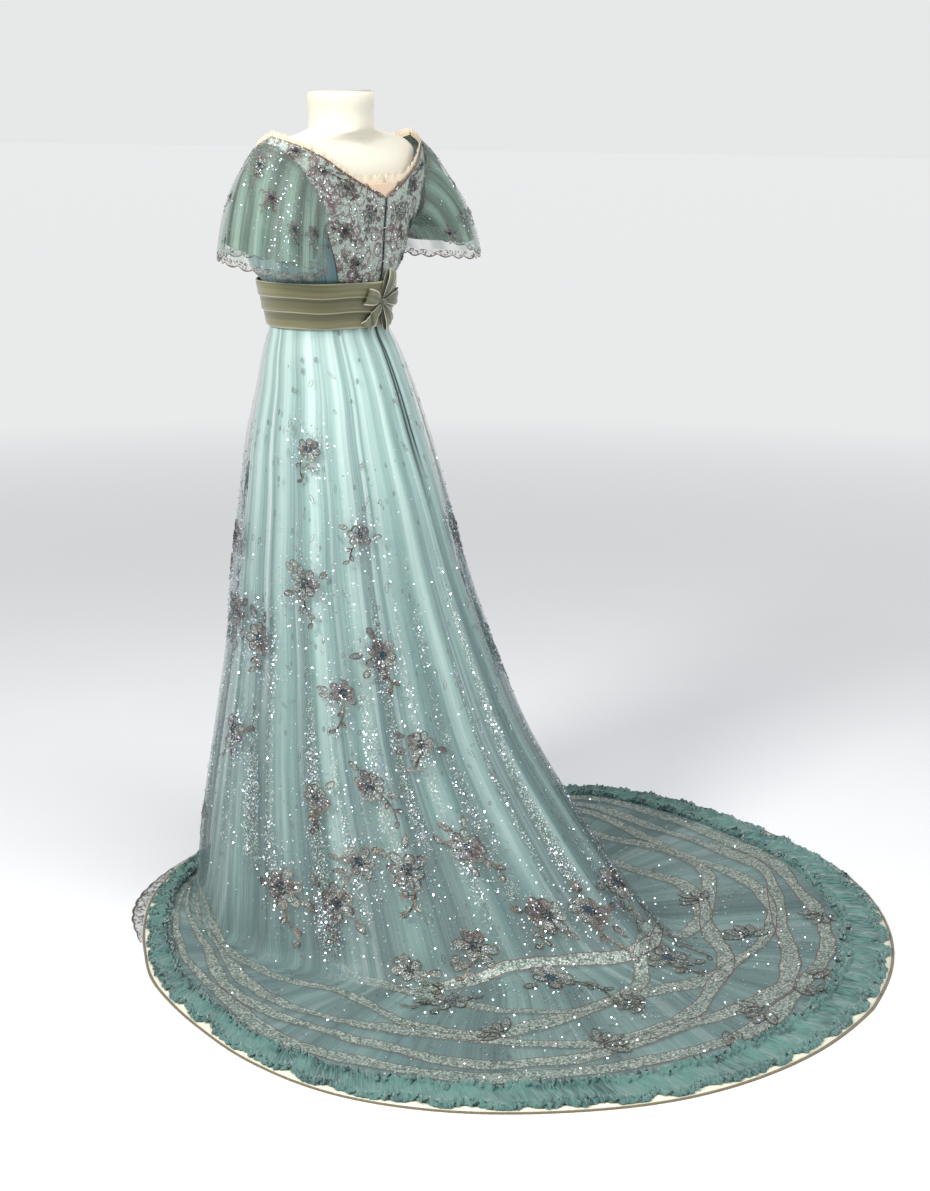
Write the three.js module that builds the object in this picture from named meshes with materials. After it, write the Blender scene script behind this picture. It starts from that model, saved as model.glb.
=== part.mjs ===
// A trained ball gown of the early 1900s on a limbless dress form.
//
// The gown is a silk skirt with a long round train, a gathered net overskirt, a low-necked bodice of
// beaded net with silk side panels, short double sleeves, a folded sash with a bow at the centre back,
// and a ruched flounce round the hem. The form stands on a pole and a round base inside the skirt.
//
// Millimetres, +Z up. The origin is on the floor under the axis of the form's neck.
// The gown faces -Y, its train runs towards +Y, and the wearer's left is +X.

import * as THREE from "three";

const SEAM = 0.3;                 // gap left between two pieces that meet
const DEG = Math.PI / 180;

// Driving sizes
const NECK_TOP = 1450;            // top of the form's neck above the floor
const WAIST = 1066;               // waist seam, where skirt and bodice meet
const SILK = 2;                   // skirt silk with its interlining, where it lies on the floor
const SILK_HANGING = 1.5;         // the same silk where it hangs
const NET = 1.2;                  // net and chiffon layers

// Materials
const silk = new THREE.MeshStandardMaterial({ color: 0x9dc4bf, roughness: 0.45 });
const net = new THREE.MeshStandardMaterial({ color: 0x87a9a3, roughness: 0.7 });
const beadedNet = new THREE.MeshStandardMaterial({ color: 0x8f9c93, roughness: 0.55 });
const chiffon = new THREE.MeshStandardMaterial({ color: 0x86b3a4, roughness: 0.65 });
const flounceChiffon = new THREE.MeshStandardMaterial({ color: 0x5f9a97, roughness: 0.8 });
const lace = new THREE.MeshStandardMaterial({ color: 0xe4cfb0, roughness: 0.85 });
const oliveSatin = new THREE.MeshStandardMaterial({ color: 0x7b7d62, roughness: 0.5 });
const brownBraid = new THREE.MeshStandardMaterial({ color: 0x6f5c4a, roughness: 0.8 });
const creamPaint = new THREE.MeshStandardMaterial({ color: 0xf1ead2, roughness: 0.6 });
const darkMetal = new THREE.MeshStandardMaterial({ color: 0x4a4a4c, roughness: 0.4, metalness: 0.9 });

const gown = new THREE.Group();

// ---------------------------------------------------------------- cloth walls

const point = (x, y, z) => new THREE.Vector3(x, y, z);
const mix = (a, b, share) => a + (b - a) * share;

// Reads one column of a table at any place between its rows, on a smooth line through them.
function read(table, key, column, at) {
  const last = table.length - 1;
  const falls = table[0][key] > table[last][key];
  let row = table.findIndex((r) => (falls ? r[key] <= at : r[key] >= at));
  row = row < 0 ? last : Math.max(1, row);
  const near = [row - 2, row - 1, row, row + 1].map((i) => table[THREE.MathUtils.clamp(i, 0, last)]);
  const [before, from, to, after] = near;
  const width = to[key] - from[key];
  const share = THREE.MathUtils.clamp((at - from[key]) / width, 0, 1);
  const slopeIn = ((to[column] - before[column]) / (to[key] - before[key])) * width;
  const slopeOut = ((after[column] - from[column]) / (after[key] - from[key])) * width;
  const s2 = share * share;
  const s3 = s2 * share;
  return (2 * s3 - 3 * s2 + 1) * from[column] + (s3 - 2 * s2 + share) * slopeIn
    + (3 * s2 - 2 * s3) * to[column] + (s3 - s2) * slopeOut;
}

// A closed mesh from points and faces, turned so that its faces point outwards.
function closedMesh(points, faces) {
  let volume = 0;
  for (const [a, b, c] of faces) volume += points[a].dot(points[b].clone().cross(points[c]));
  const outward = volume > 0 ? faces : faces.map(([a, b, c]) => [a, c, b]);
  const geometry = new THREE.BufferGeometry().setFromPoints(points);
  geometry.setIndex(outward.flat());
  geometry.computeVertexNormals();
  return geometry;
}

const addQuad = (faces, a, b, c, d) => faces.push([a, b, c], [a, c, d]);

// A wall between two grids of points with the same rows and columns. A closed wall runs right round.
function wallBetween(outer, inner, closed) {
  const rows = outer.length;
  const columns = outer[0].length;
  const points = [...outer.flat(), ...inner.flat()];
  const at = (i, j) => i * columns + (j % columns);
  const under = (i, j) => rows * columns + at(i, j);
  const faces = [];
  const lastColumn = closed ? columns : columns - 1;
  for (let i = 0; i < rows - 1; i++)
    for (let j = 0; j < lastColumn; j++) {
      addQuad(faces, at(i, j), at(i + 1, j), at(i + 1, j + 1), at(i, j + 1));
      addQuad(faces, under(i, j), under(i, j + 1), under(i + 1, j + 1), under(i + 1, j));
    }
  for (let j = 0; j < lastColumn; j++) {
    addQuad(faces, at(0, j), at(0, j + 1), under(0, j + 1), under(0, j));
    addQuad(faces, at(rows - 1, j + 1), at(rows - 1, j), under(rows - 1, j), under(rows - 1, j + 1));
  }
  if (!closed)
    for (let i = 0; i < rows - 1; i++) {
      addQuad(faces, at(i + 1, 0), at(i, 0), under(i, 0), under(i + 1, 0));
      const [edge, below] = [at(i, columns - 1), at(i + 1, columns - 1)];
      addQuad(faces, edge, below, under(i + 1, columns - 1), under(i, columns - 1));
    }
  return closedMesh(points, faces);
}

// The points of a grid moved along its own normals.
function moved(grid, distance, closed) {
  const columns = grid[0].length;
  return grid.map((row, i) => row.map((p, j) => {
    const up = grid[Math.max(0, i - 1)][j];
    const down = grid[Math.min(grid.length - 1, i + 1)][j];
    const left = closed ? row[(j + columns - 1) % columns] : row[Math.max(0, j - 1)];
    const right = closed ? row[(j + 1) % columns] : row[Math.min(columns - 1, j + 1)];
    const normal = right.clone().sub(left).cross(up.clone().sub(down)).normalize();
    return p.clone().addScaledVector(normal, distance);
  }));
}

// A grid of points from a function of the share down and the share across.
function grid(rows, columns, surface) {
  return Array.from({ length: rows + 1 }, (_, i) =>
    Array.from({ length: columns + 1 }, (_, j) => surface(i / rows, j / columns)));
}

function add(name, geometry, material) {
  const mesh = new THREE.Mesh(geometry, material);
  mesh.name = name;
  gown.add(mesh);
}

// Mirrors a grid to the wearer's other side.
const mirrored = (points) => points.map((row) => row.map((p) => point(-p.x, p.y, p.z)));

// ---------------------------------------------------------------- dress form and stand

// Level rings of the form: half width, and how far it reaches to the front and the back of the axis.
const FORM_RINGS = [
  { height: 845, side: 100, front: 112, back: 92 },
  { height: 870, side: 118, front: 124, back: 98 },
  { height: 920, side: 121, front: 132, back: 92 },
  { height: 990, side: 110, front: 128, back: 74 },
  { height: WAIST, side: 105, front: 124, back: 62 },
  { height: 1125, side: 108, front: 126, back: 72 },
  { height: 1200, side: 128, front: 146, back: 78 },
  { height: 1250, side: 156, front: 134, back: 84 },
  { height: 1300, side: 184, front: 106, back: 84 },
  { height: 1330, side: 200, front: 76, back: 74 },
  { height: 1350, side: 203, front: 48, back: 60 },
  { height: 1363, side: 188, front: 40, back: 50 },
  { height: 1374, side: 146, front: 40, back: 49 },
  { height: 1382, side: 96, front: 46, back: 54 },
  { height: 1390, side: 61, front: 53, back: 57 },
  { height: 1406, side: 56.5, front: 54.5, back: 56.5 },
  { height: NECK_TOP - 3, side: 56, front: 54, back: 56 },
];
const FORM_COLUMNS = 20;
const NECK_EDGE = 3;              // rounding of the neck's top edge

function ringPoint(ring, angle) {
  const depth = (ring.front + ring.back) / 2;
  const centre = (ring.back - ring.front) / 2;
  return point(ring.side * Math.sin(angle), centre + depth * Math.cos(angle), ring.height);
}

function dressForm() {
  const neckTop = FORM_RINGS[FORM_RINGS.length - 1];
  const [side, front, back] = ["side", "front", "back"].map((key) => neckTop[key] - NECK_EDGE);
  const rings = [...FORM_RINGS, { height: NECK_TOP, side, front, back }];
  const points = rings.flatMap((ring) =>
    Array.from({ length: FORM_COLUMNS }, (_, j) => ringPoint(ring, (j / FORM_COLUMNS) * 2 * Math.PI)));
  const faces = [];
  for (let i = 0; i < rings.length - 1; i++)
    for (let j = 0; j < FORM_COLUMNS; j++) {
      const next = (j + 1) % FORM_COLUMNS;
      const [low, high] = [i * FORM_COLUMNS, (i + 1) * FORM_COLUMNS];
      addQuad(faces, low + j, high + j, high + next, low + next);
    }
  for (const ring of [0, rings.length - 1]) {
    const middle = points.length;
    points.push(point(0, (rings[ring].back - rings[ring].front) / 2, rings[ring].height));
    for (let j = 0; j < FORM_COLUMNS; j++) {
      const corners = [ring * FORM_COLUMNS + j, ring * FORM_COLUMNS + ((j + 1) % FORM_COLUMNS)];
      faces.push(ring ? [middle, corners[1], corners[0]] : [middle, corners[0], corners[1]]);
    }
  }
  return closedMesh(points, faces);
}

const BASE_RADIUS = 160;
const BASE_HEIGHT = 14;
const POLE_RADIUS = 16;
const POLE_SOCKET_RADIUS = 30;
const POLE_SOCKET_HEIGHT = 44;
const BASE_BEVEL = 8;
const BASE_CROWN = 4;             // rise of the base's top from its edge to the socket
const SOCKET_TAPER = 6;

function standBase() {
  const profile = [
    [0, 0],
    [BASE_RADIUS, 0],
    [BASE_RADIUS, BASE_HEIGHT * 0.6],
    [BASE_RADIUS - BASE_BEVEL, BASE_HEIGHT],
    [POLE_SOCKET_RADIUS, BASE_HEIGHT + BASE_CROWN],
    [POLE_SOCKET_RADIUS - SOCKET_TAPER, POLE_SOCKET_HEIGHT],
    [0, POLE_SOCKET_HEIGHT],
  ].map(([radius, height]) => new THREE.Vector2(radius, height));
  return new THREE.LatheGeometry(profile, 24).rotateX(Math.PI / 2);
}

function standPole() {
  const bottom = POLE_SOCKET_HEIGHT + SEAM;
  const top = FORM_RINGS[0].height - SEAM;
  return new THREE.CylinderGeometry(POLE_RADIUS, POLE_RADIUS, top - bottom, 16)
    .rotateX(Math.PI / 2)
    .translate(0, 0, (top + bottom) / 2);
}

add("dress_form", dressForm(), creamPaint);
add("stand_pole", standPole(), darkMetal);
add("stand_base", standBase(), darkMetal);

// ---------------------------------------------------------------- skirt

// Level sections of the net overskirt from the waist to the floor: half width, half depth, how far the
// section's centre lies behind the axis, how far the centre back pleats stand out behind it, the depth of
// a gather, and how far the silk hangs inside the net.
const SKIRT_LEVELS = [
  { height: WAIST - SEAM, side: 111.5, depth: 100, centre: -31, ridge: 0, fold: 0.4, lining: 2.6 },
  { height: 1046, side: 113.5, depth: 102.5, centre: -31, ridge: 0, fold: 0.8, lining: 2.9 },
  { height: 1010, side: 126, depth: 118, centre: -27, ridge: 0, fold: 2.4, lining: 5.5 },
  { height: 950, side: 140, depth: 138, centre: -20, ridge: 0, fold: 4, lining: 8 },
  { height: 860, side: 163, depth: 164, centre: -15, ridge: 3, fold: 6.5, lining: 11.5 },
  { height: 750, side: 182, depth: 188, centre: -6, ridge: 12, fold: 8, lining: 14 },
  { height: 620, side: 205, depth: 213, centre: 2, ridge: 26, fold: 10, lining: 17 },
  { height: 480, side: 230, depth: 241, centre: 19, ridge: 42, fold: 12, lining: 19 },
  { height: 340, side: 263, depth: 279, centre: 36, ridge: 60, fold: 14, lining: 21 },
  { height: 210, side: 299, depth: 329, centre: 64, ridge: 80, fold: 16, lining: 22 },
  { height: 110, side: 331, depth: 371, centre: 94, ridge: 92, fold: 16, lining: 21 },
  { height: 45, side: 352, depth: 394, centre: 114, ridge: 115, fold: 13, lining: 18 },
  { height: 15, side: 360, depth: 403, centre: 124, ridge: 140, fold: 7, lining: 12 },
];
// Where the net comes down on the floor.
const LANDING = { side: 366, depth: 409, centre: 129, ridge: 165, fold: 6, lining: 9 };
const TURNS_OUT = 100;            // below this height the cloth turns out towards the floor
const RIDGE_POWER = 10;           // how narrow the ridge of the centre back pleats is

// Reach of the silk hem to the wearer's left and right and the width of its flounce, by the angle from
// the centre back.
const HEM_OUTLINE = [
  { fromBack: 0, left: 1026, right: 1026, flounce: 86 },
  { fromBack: 12, left: 1020, right: 1007, flounce: 85 },
  { fromBack: 25, left: 991, right: 970, flounce: 84 },
  { fromBack: 37, left: 936, right: 920, flounce: 80 },
  { fromBack: 47, left: 884, right: 866, flounce: 78 },
  { fromBack: 57, left: 818, right: 820, flounce: 74 },
  { fromBack: 68, left: 722, right: 772, flounce: 70 },
  { fromBack: 77, left: 642, right: 716, flounce: 66 },
  { fromBack: 85, left: 584, right: 640, flounce: 62 },
  { fromBack: 95, left: 524, right: 556, flounce: 58 },
  { fromBack: 105, left: 466, right: 484, flounce: 52 },
  { fromBack: 113, left: 432, right: 438, flounce: 47 },
  { fromBack: 122, left: 402, right: 402, flounce: 43 },
  { fromBack: 136, left: 371, right: 371, flounce: 40 },
  { fromBack: 150, left: 349, right: 349, flounce: 38 },
  { fromBack: 165, left: 337, right: 337, flounce: 38 },
  { fromBack: 180, left: 333, right: 333, flounce: 38 },
];

const FOLDS = 18;                 // gathers round the net skirt that run from waist to hem
const STEPS_PER_FOLD = 4;
const NET_COLUMNS = FOLDS * STEPS_PER_FOLD;
const FLOOR_ROWS = 2;             // rows between the landing and the hem
const FLOOR_NET = SILK + SEAM + NET;
const BACK_FULLNESS = 0.38;       // how far the gathers crowd towards the centre back
const HEM_FOLD = 2.5;             // height of a fold where the net ends
const NET_STOPS = 2.5;            // gap between the net and the flounce's heading

// Angle of a column from the centre back, in radians. Column 0 is the centre back, and angles to the
// wearer's left are positive.
function columnAngle(column) {
  const turn = (2 * column) / NET_COLUMNS;
  const half = turn > 1 ? turn - 2 : turn;
  const away = Math.abs(half);
  const share = (1 - BACK_FULLNESS) * away + BACK_FULLNESS * away * away;
  return Math.sign(half) * Math.PI * share;
}

// How deep a column lies in its fold, from 0 on a ridge to 1 in a trough, with uneven folds.
function foldShare(column) {
  const fold = Math.round(column / STEPS_PER_FOLD) % FOLDS;
  const strength = 0.72 + 0.28 * Math.sin(2.4 * fold + 0.6);
  return strength * (0.5 - 0.5 * Math.cos((column / STEPS_PER_FOLD) * 2 * Math.PI + Math.PI));
}

function sectionPoint(level, column, inset, height) {
  const angle = columnAngle(column);
  const ridge = level.ridge * Math.max(0, Math.cos(angle)) ** RIDGE_POWER;
  const back = level.centre + (level.depth - inset) * Math.cos(angle) + ridge;
  return point((level.side - inset) * Math.sin(angle), back, height);
}

function hemPoint(column, inset, height) {
  const angle = columnAngle(column);
  const side = angle > 0 ? "left" : "right";
  const reach = read(HEM_OUTLINE, "fromBack", side, Math.abs(angle) / DEG) - inset;
  return point(reach * Math.sin(angle), reach * Math.cos(angle), height);
}

const degreesFromBack = (column) => Math.abs(columnAngle(column)) / DEG;
const flounceWidth = (column) => read(HEM_OUTLINE, "fromBack", "flounce", degreesFromBack(column));

// One column of the net, waist to hem: outer points, then the same points one net thickness inside.
function netColumn(column, outerSide) {
  const deep = foldShare(column);
  const wall = outerSide ? 0 : NET;
  const points = SKIRT_LEVELS.map((level) => {
    const drop = level.height < TURNS_OUT ? wall : 0;
    return sectionPoint(level, column, level.fold * deep + wall, level.height - drop);
  });
  const landing = sectionPoint(LANDING, column, wall, 0);
  const hem = hemPoint(column, flounceWidth(column) + NET_STOPS, 0);
  for (let row = 0; row <= FLOOR_ROWS; row++) {
    const share = row / FLOOR_ROWS;
    const ridge = mix(LANDING.fold, HEM_FOLD, share) * (1 - deep);
    const at = landing.clone().lerp(hem, share);
    points.push(at.setZ(FLOOR_NET + ridge - wall));
  }
  return points;
}

// The silk hangs plainly inside the net and lies on the floor from the landing to the hem.
function silkColumn(column, outerSide) {
  const wall = outerSide ? 0 : SILK;
  const points = SKIRT_LEVELS.map((level) => {
    const drop = level.height < TURNS_OUT ? wall : 0;
    return sectionPoint(level, column, level.lining + (outerSide ? 0 : SILK_HANGING), level.height - drop);
  });
  const landing = sectionPoint(LANDING, column, LANDING.lining + wall, 0);
  const hem = hemPoint(column, 0, 0);
  for (let row = 0; row <= FLOOR_ROWS; row++)
    points.push(landing.clone().lerp(hem, row / FLOOR_ROWS).setZ(SILK - wall));
  return points;
}

const SEAM_PULL = 0.45;           // how far a gore's edge is pulled back from its seam

// A gore between two columns, pulled back at both seams.
function gore(columnPoints, from, to, step) {
  const columns = [];
  for (let column = from; column <= to; column += step) columns.push(column);
  const sides = [true, false].map((outerSide) => {
    const lines = columns.map((column) => columnPoints(column, outerSide));
    const pulled = (line, next) => line.map((p, i) => {
      const share = SEAM_PULL / Math.max(1, p.distanceTo(next[i]));
      return p.clone().lerp(next[i], share);
    });
    const last = lines.length - 1;
    const ends = [pulled(lines[0], lines[1]), pulled(lines[last], lines[last - 1])];
    const drawn = [ends[0], ...lines.slice(1, last), ends[1]];
    return drawn[0].map((_, row) => drawn.map((line) => line[row]));
  });
  return wallBetween(sides[0], sides[1], false);
}

// Gores round the skirt. Columns count from the centre back towards the wearer's left.
const GORES = [
  { name: "back_left", from: 0, to: 16 },
  { name: "side_left", from: 16, to: 28 },
  { name: "front", from: 28, to: 44 },
  { name: "side_right", from: 44, to: 56 },
  { name: "back_right", from: 56, to: 72 },
];
for (const { name, from, to } of GORES) {
  add(`silk_skirt_${name}`, gore(silkColumn, from, to, 2), silk);
  add(`net_skirt_${name}`, gore(netColumn, from, to, 1), net);
}

// ---------------------------------------------------------------- hem flounce, braid and lace border

const FLOUNCE_WAVES = 48;
const FLOUNCE_REST = SILK + SEAM; // the flounce lies on the silk
const CREST_SHARE = 0.6;          // share of a wave's height that lies above its middle

// Section of the flounce from its inner edge to its outer edge: a ruched heading, flat gathered chiffon
// between, and a frill over the hem. Across is a share of the width, and wave is how far the gathers lift it.
const FLOUNCE_SECTION = [
  { across: 0, height: 4.5, wave: 1.5 },
  { across: 0.14, height: 11, wave: 3 },
  { across: 0.32, height: 3.6, wave: 0.8 },
  { across: 0.84, height: 8, wave: 3 },
  { across: 1, height: 3.5, wave: 1 },
];
const HEM_SHOWS = 6;              // silk that shows past the frill
const EDGE_RIPPLE = 1.5;          // how far the frill's edge wanders in and out

function flouncePiece(from, to, waves) {
  const steps = waves * 2;
  const outer = [];
  const inner = [];
  for (const { across, height, wave } of FLOUNCE_SECTION) {
    const top = [];
    const base = [];
    for (let step = 0; step <= steps; step++) {
      const column = mix(from, to, step / steps);
      const crest = step % 2 ? 1 : -1;
      const ripple = across === 1 ? crest * EDGE_RIPPLE : 0;
      const inset = HEM_SHOWS + (1 - across) * (flounceWidth(column) - HEM_SHOWS) + ripple;
      top.push(hemPoint(column, inset, FLOUNCE_REST + height + wave * crest * CREST_SHARE));
      base.push(hemPoint(column, inset, FLOUNCE_REST));
    }
    outer.push(top);
    inner.push(base);
  }
  return wallBetween(outer, inner, false);
}

const FLOUNCE_PIECES = [
  { name: "back_left", from: 0, to: 18 },
  { name: "front_left", from: 18, to: 36 },
  { name: "front_right", from: 36, to: 54 },
  { name: "back_right", from: 54, to: 72 },
];
const COLUMN_GAP = 0.02;          // a seam at the flounce, in columns
for (const { name, from, to } of FLOUNCE_PIECES) {
  const piece = flouncePiece(from + COLUMN_GAP, to - COLUMN_GAP, FLOUNCE_WAVES / FLOUNCE_PIECES.length);
  add(`hem_flounce_${name}`, piece, flounceChiffon);
}

const BRAID_WIDTH = 5;
const BRAID_HEIGHT = 2;
const BRAID_STEPS = NET_COLUMNS / 4; // the silk hem's own points, so that the two edges run level

// Brush braid that guards the hem's edge, just clear of the floor.
function brushBraid(from, to) {
  const rows = [[0, BRAID_HEIGHT], [BRAID_WIDTH, BRAID_HEIGHT * 0.8]];
  const column = (k) => THREE.MathUtils.clamp(Math.round(from) + 2 * k, from, to);
  const side = (height) => rows.map(([out, top]) =>
    Array.from({ length: BRAID_STEPS + 1 }, (_, k) => hemPoint(column(k), -2 * SEAM - out, height ?? top)));
  return wallBetween(side(), side(SEAM), false);
}
add("brush_braid_left", brushBraid(COLUMN_GAP, NET_COLUMNS / 2 - COLUMN_GAP), brownBraid);
add("brush_braid_right", brushBraid(NET_COLUMNS / 2 + COLUMN_GAP, NET_COLUMNS - COLUMN_GAP), brownBraid);

// Border of the net that spreads past the hem at the front, by the angle from the centre back.
const NET_BORDER = [
  { fromBack: 108, spread: 2 },
  { fromBack: 116, spread: 12 },
  { fromBack: 124, spread: 22 },
  { fromBack: 136, spread: 23 },
  { fromBack: 150, spread: 15 },
  { fromBack: 165, spread: 6 },
  { fromBack: 176, spread: 2 },
];
const BORDER_STEPS = 22;
const BORDER_SCALLOP = 1.5;
const BORDER_FROM = 25;
const BORDER_TO = 35;

function netBorder(from, to) {
  const row = (share, height) => Array.from({ length: BORDER_STEPS + 1 }, (_, k) => {
    const column = mix(from, to, k / BORDER_STEPS);
    const spread = read(NET_BORDER, "fromBack", "spread", degreesFromBack(column));
    const scallop = share ? (k % 2 ? 1 : -1) * BORDER_SCALLOP * Math.min(1, spread / 20) : 0;
    return hemPoint(column, -(BRAID_WIDTH + 5 * SEAM + share * spread + scallop), height);
  });
  return [[row(0, SEAM + NET), row(1, SEAM + NET)], [row(0, SEAM), row(1, SEAM)]];
}
add("net_border_left", wallBetween(...netBorder(BORDER_FROM, BORDER_TO), false), net);
const rightBorder = netBorder(NET_COLUMNS - BORDER_FROM, NET_COLUMNS - BORDER_TO);
add("net_border_right", wallBetween(...rightBorder, false), net);

// ---------------------------------------------------------------- bodice

// Rows up a bodice panel, waist to shoulder. Edge is the centre line and then the neckline, side is the
// seam with the side panel and then the armhole, and crown is how far the cloth stands out between them.
const BACK_PANEL = [
  { edge: [1, 67.5, WAIST + SEAM], side: [72, 43.7, WAIST + SEAM], crown: 6.5 },
  { edge: [1, 77, 1120], side: [79, 46, 1122], crown: 8 },
  { edge: [1, 84, 1160], side: [101, 57, 1164], crown: 12 },
  { edge: [1, 88, 1215], side: [126, 60, 1214], crown: 12 },
  { edge: [1, 93, 1270], side: [148, 66, 1256], crown: 9 },
  { edge: [50, 89, 1292], side: [166, 62, 1290], crown: 5 },
  { edge: [111, 80, 1321], side: [182, 54, 1316], crown: 3 },
  { edge: [145, 69, 1342], side: [194, 45, 1335], crown: 2 },
  { edge: [181, 49, 1361], side: [206, 33, 1350], crown: 1 },
  { edge: [210, 10.5, 1377], side: [221, 9, 1365], crown: 0 },
];
const FRONT_PANEL = [
  { edge: [1, -129.5, WAIST + SEAM], side: [72, -105.7, WAIST + SEAM], crown: 6.5 },
  { edge: [1, -137, 1112], side: [82, -104, 1116], crown: 11 },
  { edge: [1, -160, 1160], side: [110, -116, 1160], crown: 16 },
  { edge: [1, -162, 1212], side: [128, -104, 1212], crown: 16 },
  { edge: [1, -150, 1246], side: [148, -88, 1252], crown: 12 },
  { edge: [62, -136, 1268], side: [167, -73, 1286], crown: 6 },
  { edge: [118, -104, 1302], side: [186, -57, 1314], crown: 3 },
  { edge: [156, -72, 1334], side: [200, -41, 1336], crown: 2 },
  { edge: [190, -36, 1360], side: [212, -20, 1352], crown: 1 },
  { edge: [210, 8, 1377], side: [221, 6.5, 1365], crown: 0 },
];
const BODICE = 1.8;               // beaded net on its silk
const BODICE_COLUMNS = 4;
const BODICE_ROWS = 12;
const CENTRE_GAP = 1;             // half the gap at the centre front and centre back
const CHEST_CENTRE = -29;         // the trunk's axis lies this far behind the origin's

function edgeCurve(panel, key) {
  const corners = panel.map((row) => point(...row[key]));
  return new THREE.CatmullRomCurve3(corners, false, "catmullrom", 0.5);
}

// A panel lofted between its two edges. Share 0 is the waist and share 1 the shoulder.
function loft(panel, rows, columns) {
  const [inner, outer] = [edgeCurve(panel, "edge"), edgeCurve(panel, "side")];
  const table = panel.map((row, i) => ({ ...row, share: i / (panel.length - 1) }));
  return grid(rows, columns, (down, across) => {
    const share = 1 - down;
    const [from, to] = [inner.getPoint(share), outer.getPoint(share)];
    from.setX(Math.max(CENTRE_GAP, from.x));
    const away = from.clone().add(to).multiplyScalar(0.5).sub(point(0, CHEST_CENTRE, 0)).setZ(0).normalize();
    const crown = read(table, "share", "crown", share);
    return from.clone().lerp(to, across).addScaledVector(away, crown * 4 * across * (1 - across));
  });
}

function bodicePanel(panel, name, faceSense) {
  const left = loft(panel, BODICE_ROWS, BODICE_COLUMNS);
  const inside = moved(left, faceSense * BODICE, false);
  for (const row of inside) row[0].setX(Math.max(CENTRE_GAP, row[0].x));
  add(`bodice_${name}_left`, wallBetween(left, inside, false), beadedNet);
  add(`bodice_${name}_right`, wallBetween(mirrored(left), mirrored(inside), false), beadedNet);
}
bodicePanel(BACK_PANEL, "back", 1);
bodicePanel(FRONT_PANEL, "front", -1);

const SIDE_SEAM = 1.3;            // gap at the side panel's seams, where the walls meet at an angle
const SIDE_CROWNS = [36, 30.4, 25, 16];

// Gathered silk under the arm, from the back panel's seam round to the front panel's.
const SIDE_PANEL = BACK_PANEL.slice(0, 4).map(({ side: [bx, by, bz] }, i) => {
  const [fx, fy, fz] = FRONT_PANEL[i].side;
  return { edge: [bx + 1, by - SIDE_SEAM, bz], side: [fx + 1, fy + SIDE_SEAM, fz], crown: SIDE_CROWNS[i] };
});
const SIDE_GATHERS = 6;
const GATHER_DEPTH = 1.6;

function sidePanel() {
  const plain = loft(SIDE_PANEL, 4, SIDE_GATHERS * 2);
  const gathered = plain.map((row) => row.map((p, j) => {
    const away = p.clone().sub(point(0, CHEST_CENTRE, p.z)).normalize();
    return p.clone().addScaledVector(away, j % 2 ? GATHER_DEPTH : 0);
  }));
  return [gathered, moved(gathered, BODICE, false)];
}
const [sideOuter, sideInner] = sidePanel();
add("bodice_side_left", wallBetween(sideOuter, sideInner, false), silk);
add("bodice_side_right", wallBetween(mirrored(sideOuter), mirrored(sideInner), false), silk);

// ---------------------------------------------------------------- chemisette and neck lace

const CHEMISETTE = { foot: 1260, top: 1297, footHalf: 10, topHalf: 46, back: 89.4, curve: 3.4 };

function chemisette() {
  const outer = grid(3, 6, (down, across) => {
    const height = mix(CHEMISETTE.top, CHEMISETTE.foot, down);
    const x = mix(CHEMISETTE.topHalf, CHEMISETTE.footHalf, down) * (2 * across - 1);
    const away = x / CHEMISETTE.topHalf;
    return point(x, CHEMISETTE.back - CHEMISETTE.curve * away * away, height);
  });
  return wallBetween(outer, moved(outer, NET, false), false);
}
add("chemisette", chemisette(), lace);

const LACE_STAND = 9;             // how far the frill stands above the neckline
const LACE_FOOT = 5;              // how far it is sewn down inside
const LACE_INSET = 2.6;           // from the panel's inner face to the lace
const LACE_WALL = 1;
const LACE_STEPS = 12;
const LACE_WAVE = 1.1;
const LACE_FROM = 0.46;           // share of the panel's edge where the neckline starts
const LACE_ENDS = 0.995;

// A frill inside the neckline of one panel. Lowest is the height the frill doesn't fall below.
function neckFrill(panel, lowest) {
  const line = edgeCurve(panel, "edge");
  const rows = [LACE_STAND, 2, -LACE_FOOT];
  return grid(rows.length - 1, LACE_STEPS, (down, across) => {
    const at = line.getPoint(mix(LACE_FROM, LACE_ENDS, across));
    const inward = at.clone().sub(point(0, CHEST_CENTRE, 0)).setZ(0).normalize();
    const rise = rows[Math.round(down * (rows.length - 1))];
    const crest = Math.round(across * LACE_STEPS) % 2 ? 1 : -1;
    const wave = crest * LACE_WAVE * Math.max(0, rise / LACE_STAND);
    const height = Math.max(at.z, lowest) + rise;
    at.setX(Math.max(CENTRE_GAP, at.x));
    return at.addScaledVector(inward, wave - BODICE - LACE_INSET).setZ(height);
  });
}

function addNeckFrill(name, panel, lowest, faceSense) {
  const outer = neckFrill(panel, lowest);
  const inner = moved(outer, faceSense * LACE_WALL, false);
  for (const row of inner) row[0].setX(Math.max(CENTRE_GAP, row[0].x));
  add(`neck_lace_${name}_left`, wallBetween(outer, inner, false), lace);
  add(`neck_lace_${name}_right`, wallBetween(mirrored(outer), mirrored(inner), false), lace);
}
addNeckFrill("back", BACK_PANEL, CHEMISETTE.top + LACE_FOOT + SEAM, 1);
addNeckFrill("front", FRONT_PANEL, 0, -1);

// ---------------------------------------------------------------- sleeves

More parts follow.
